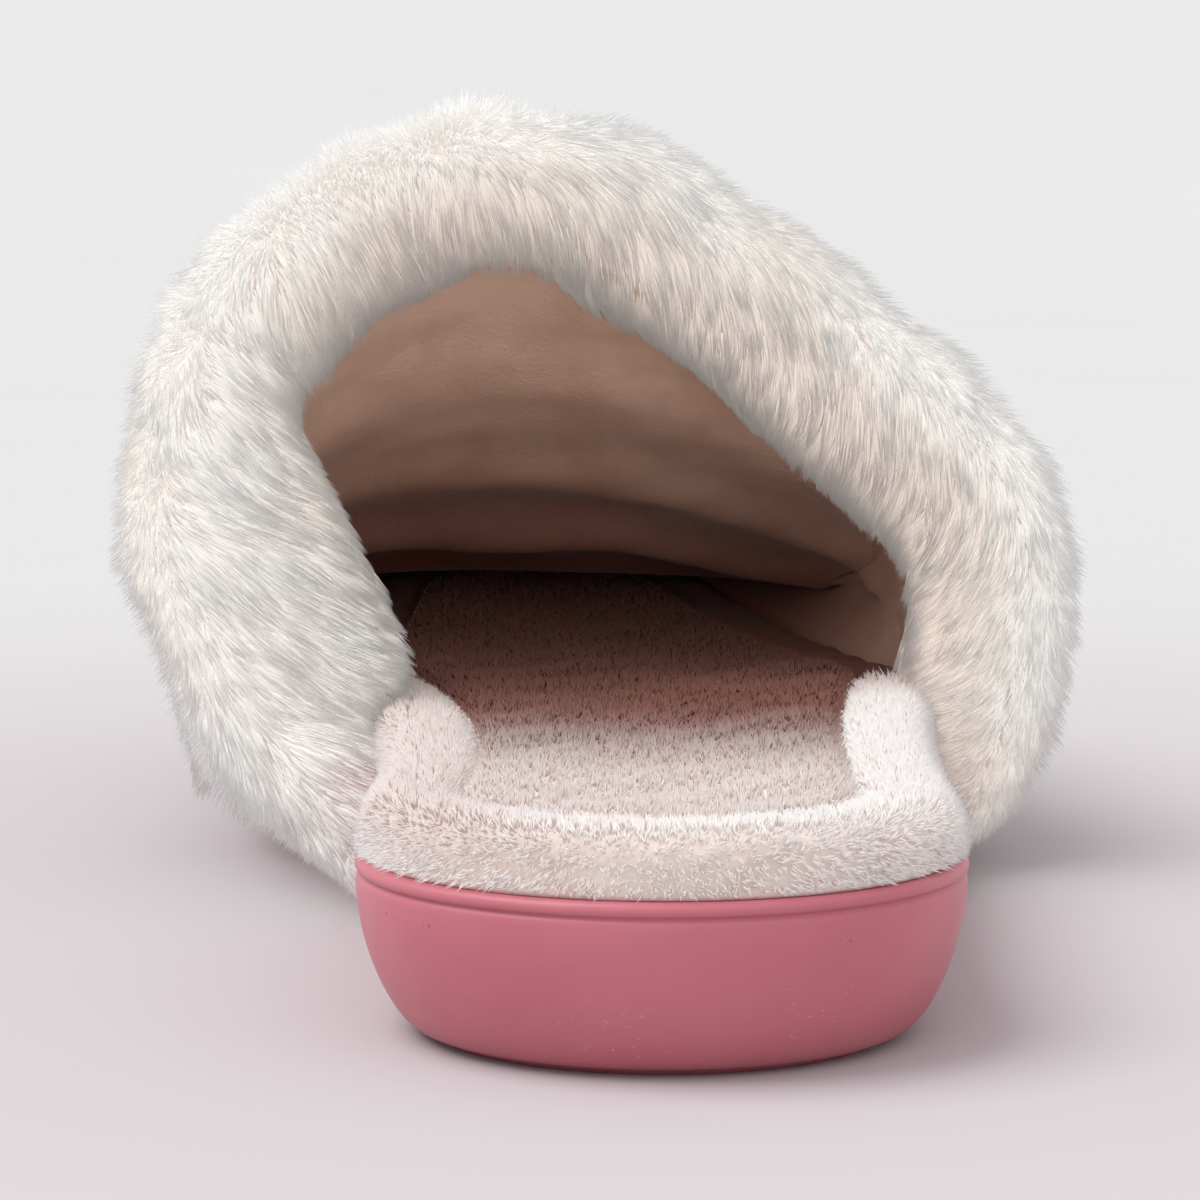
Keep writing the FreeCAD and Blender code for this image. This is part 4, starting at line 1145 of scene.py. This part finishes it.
def cuffRing():
    # a tube round the throat: its section is a superellipse between the two edges of the
    # turned cuff, set in by the depth of the pile; beside the sole it stays outside the
    # cup, and both ends close at the hem
    edges = throatRows(cuff["rows"])
    outer, inner = edges[:, :2], edges[:, 2:]
    side = np.where(np.arange(cuff["rows"]) < cuff["rows"] / 2, -1, 1)
    low = 1 - fade(inner[:, 1:], *cuff["low"])
    y = throatY(inner[:, 0], inner[:, 1], 8.0)
    wall = np.where(side > 0, reach(y, -0.5, 1), -reach(y, -0.5, -1))
    inner = np.stack([inner[:, 0] * (1 - low[:, 0]) + wall * low[:, 0], inner[:, 1]], 1)
    gap = outer - inner
    width = np.linalg.norm(gap, axis=1)
    out2 = gap / width[:, None]
    skinIn = cuff["skinIn"] * (1 - 0.75 * low[:, 0])
    half = np.maximum((width - cuff["skinOut"] - skinIn) / 2, cuff["thinnest"])
    middle = inner + out2 * np.minimum(half + skinIn, width * 0.5 + 0.4)[:, None]
    out = unit(np.stack([out2[:, 0], throat["shear"] * out2[:, 0], out2[:, 1]], 1))
    ahead = unit(np.array([0.0, 1.0, -0.5 * math.tan(math.radians(throat["lean"]))]))
    deep = (cuff["deep"] - cuff["skinBack"]) / 2
    centre = inThroat(middle, 0.0) + ahead * (cuff["skinBack"] + deep)
    share = np.linspace(0, 1, cuff["rows"])
    edge = np.clip(np.minimum(share, 1 - share) / cuff["closing"], 0, 1)
    closing = np.sqrt(np.clip(1 - (1 - edge) ** 2, 0, 1))[:, None]
    turn = np.linspace(0, 2 * np.pi, cuff["around"], endpoint=False)
    p = 2 / cuff["power"]
    c = np.sign(np.cos(turn)) * np.abs(np.cos(turn)) ** p
    d = np.sign(np.sin(turn)) * np.abs(np.sin(turn)) ** p
    grid = (centre[:, None] + out[:, None] * (half[:, None] * closing)[:, None] * c[None, :, None]
            - ahead * (deep * closing)[:, None] * d[None, :, None])
    return grid, centre, out, ahead, half


def makeCuff():
    grid, centre, out, ahead, half = cuffRing()
    soft = sum(waves(grid, size, seed)[..., None] * deep for size, seed, deep in cuff["waves"])
    radial = unit(grid - centre[:, None] + 1e-6)
    grid = grid + radial * soft * np.clip(half / 6, 0, 1)[:, None, None]
    faces = gridFaces(cuff["rows"], cuff["around"], False, True)
    last = (cuff["rows"] - 1) * cuff["around"]
    caps = np.stack([np.arange(cuff["around"])[::-1], last + np.arange(cuff["around"])])
    if (gridNormals(grid, False, True) * radial).sum() < 0:
        faces, caps = faces[:, ::-1], caps[:, ::-1]
    piece = buildMesh("furCuffRoll", grid.reshape(-1, 3), [faces, caps], furCloth)
    piece.visible_shadow = False
    settle(piece, "fur", "fur_cuff", fill=0.7)
    spots = scatter(grid, cuff["fibres"], 63, aroundColumns=True)
    # none ahead of the fold, where the vamp's own pile lies
    halfTurns = spots["at"][:, 1] * 2
    spots = chosen(spots, (halfTurns < cuff["hidden"][0]) | (halfTurns > cuff["hidden"][1]))
    share, at = spots["at"][:, :1], spots["at"][:, 1:] * 2 * np.pi
    row = share[:, 0] * (cuff["rows"] - 1)
    low = np.minimum(np.floor(row).astype(int), cuff["rows"] - 2)
    part = (row - low)[:, None]
    mid = centre[low] * (1 - part) + centre[low + 1] * part
    spots["out"] = spots["out"] * np.sign(((spots["place"] - mid) * spots["out"]).sum(-1, keepdims=True))
    # the cuff's pile runs from the vamp over the fold and the rear face into the opening,
    # and down the arch more and more towards the outer side
    cosine, sine = np.cos(at), np.sin(at)
    along = unit(centre[low + 1] - centre[low])
    down = 1.05 * fade(share, 0.3, 0.62) - 0.35 - 0.5 * fade(share, 0.2, 0.02)
    hang = fade(-cosine, -0.2, 0.5)
    flow = -out[low] * (sine + 1.1 * hang) - ahead * cosine * (1 - 0.6 * hang) + along * down
    thin = np.clip(half[low] / 6.5, 0.45, 1)[:, None]
    shorter = (1 - 0.18 * fade(-cosine, 0.3, 0.9)) * thin
    # painted shade: the pile on the face turned into the opening, from high on the inner side over the
    # crest, leans to the warm colour for the shade there and the brown light off the lining; a little
    # everywhere as tint
    warm = (0.08 + 0.72 * fade(-cosine, -0.75, 0.4) * fade(share, 0.22, 0.42))[:, 0]
    combed("cuffPile", spots, cuff, 0.4 - 0.1 * hang, flow, 64, 0.2, shorter, warm, 0.34 + 0.4 * hang)
    print("fur cuff done")


makeCuff()

# the solids that stay: hidden layers, and the tread under the cup
kept = {
    "platform_foam": ("platformFoam", {"base": colour(232, 224, 206), "second": colour(212, 201, 180)}),
    "footbed_cushion": ("cushionFoam", {"base": colour(226, 218, 205), "second": colour(205, 195, 178)}),
    "insole_board": ("fibreBoard", {"base": colour(176, 152, 122), "second": colour(146, 122, 94),
                                    "roughness": 0.9}),
    "outsole_tread": ("treadRubber", {
        "base": colour(176, 92, 105), "second": colour(158, 78, 91), "speckColour": colour(196, 140, 134),
        "roughness": 0.55, "specular": 0.4, "fine": 1600.0, "slow": 60.0, "mottle": 0.7, "speck": 0.3,
        "bump": 0.25, "distance": 0.0004}),
}
keptLook = {"roughness": 0.95, "fine": 1200.0, "slow": 130.0, "mottle": 0.6, "bump": 0.6, "distance": 0.0005}
for node, (name, look) in kept.items():
    nodes[node].data.materials.clear()
    nodes[node].data.materials.append(clothMaterial(name, {**keptLook, **look}))
print("materials of the kept solids done")
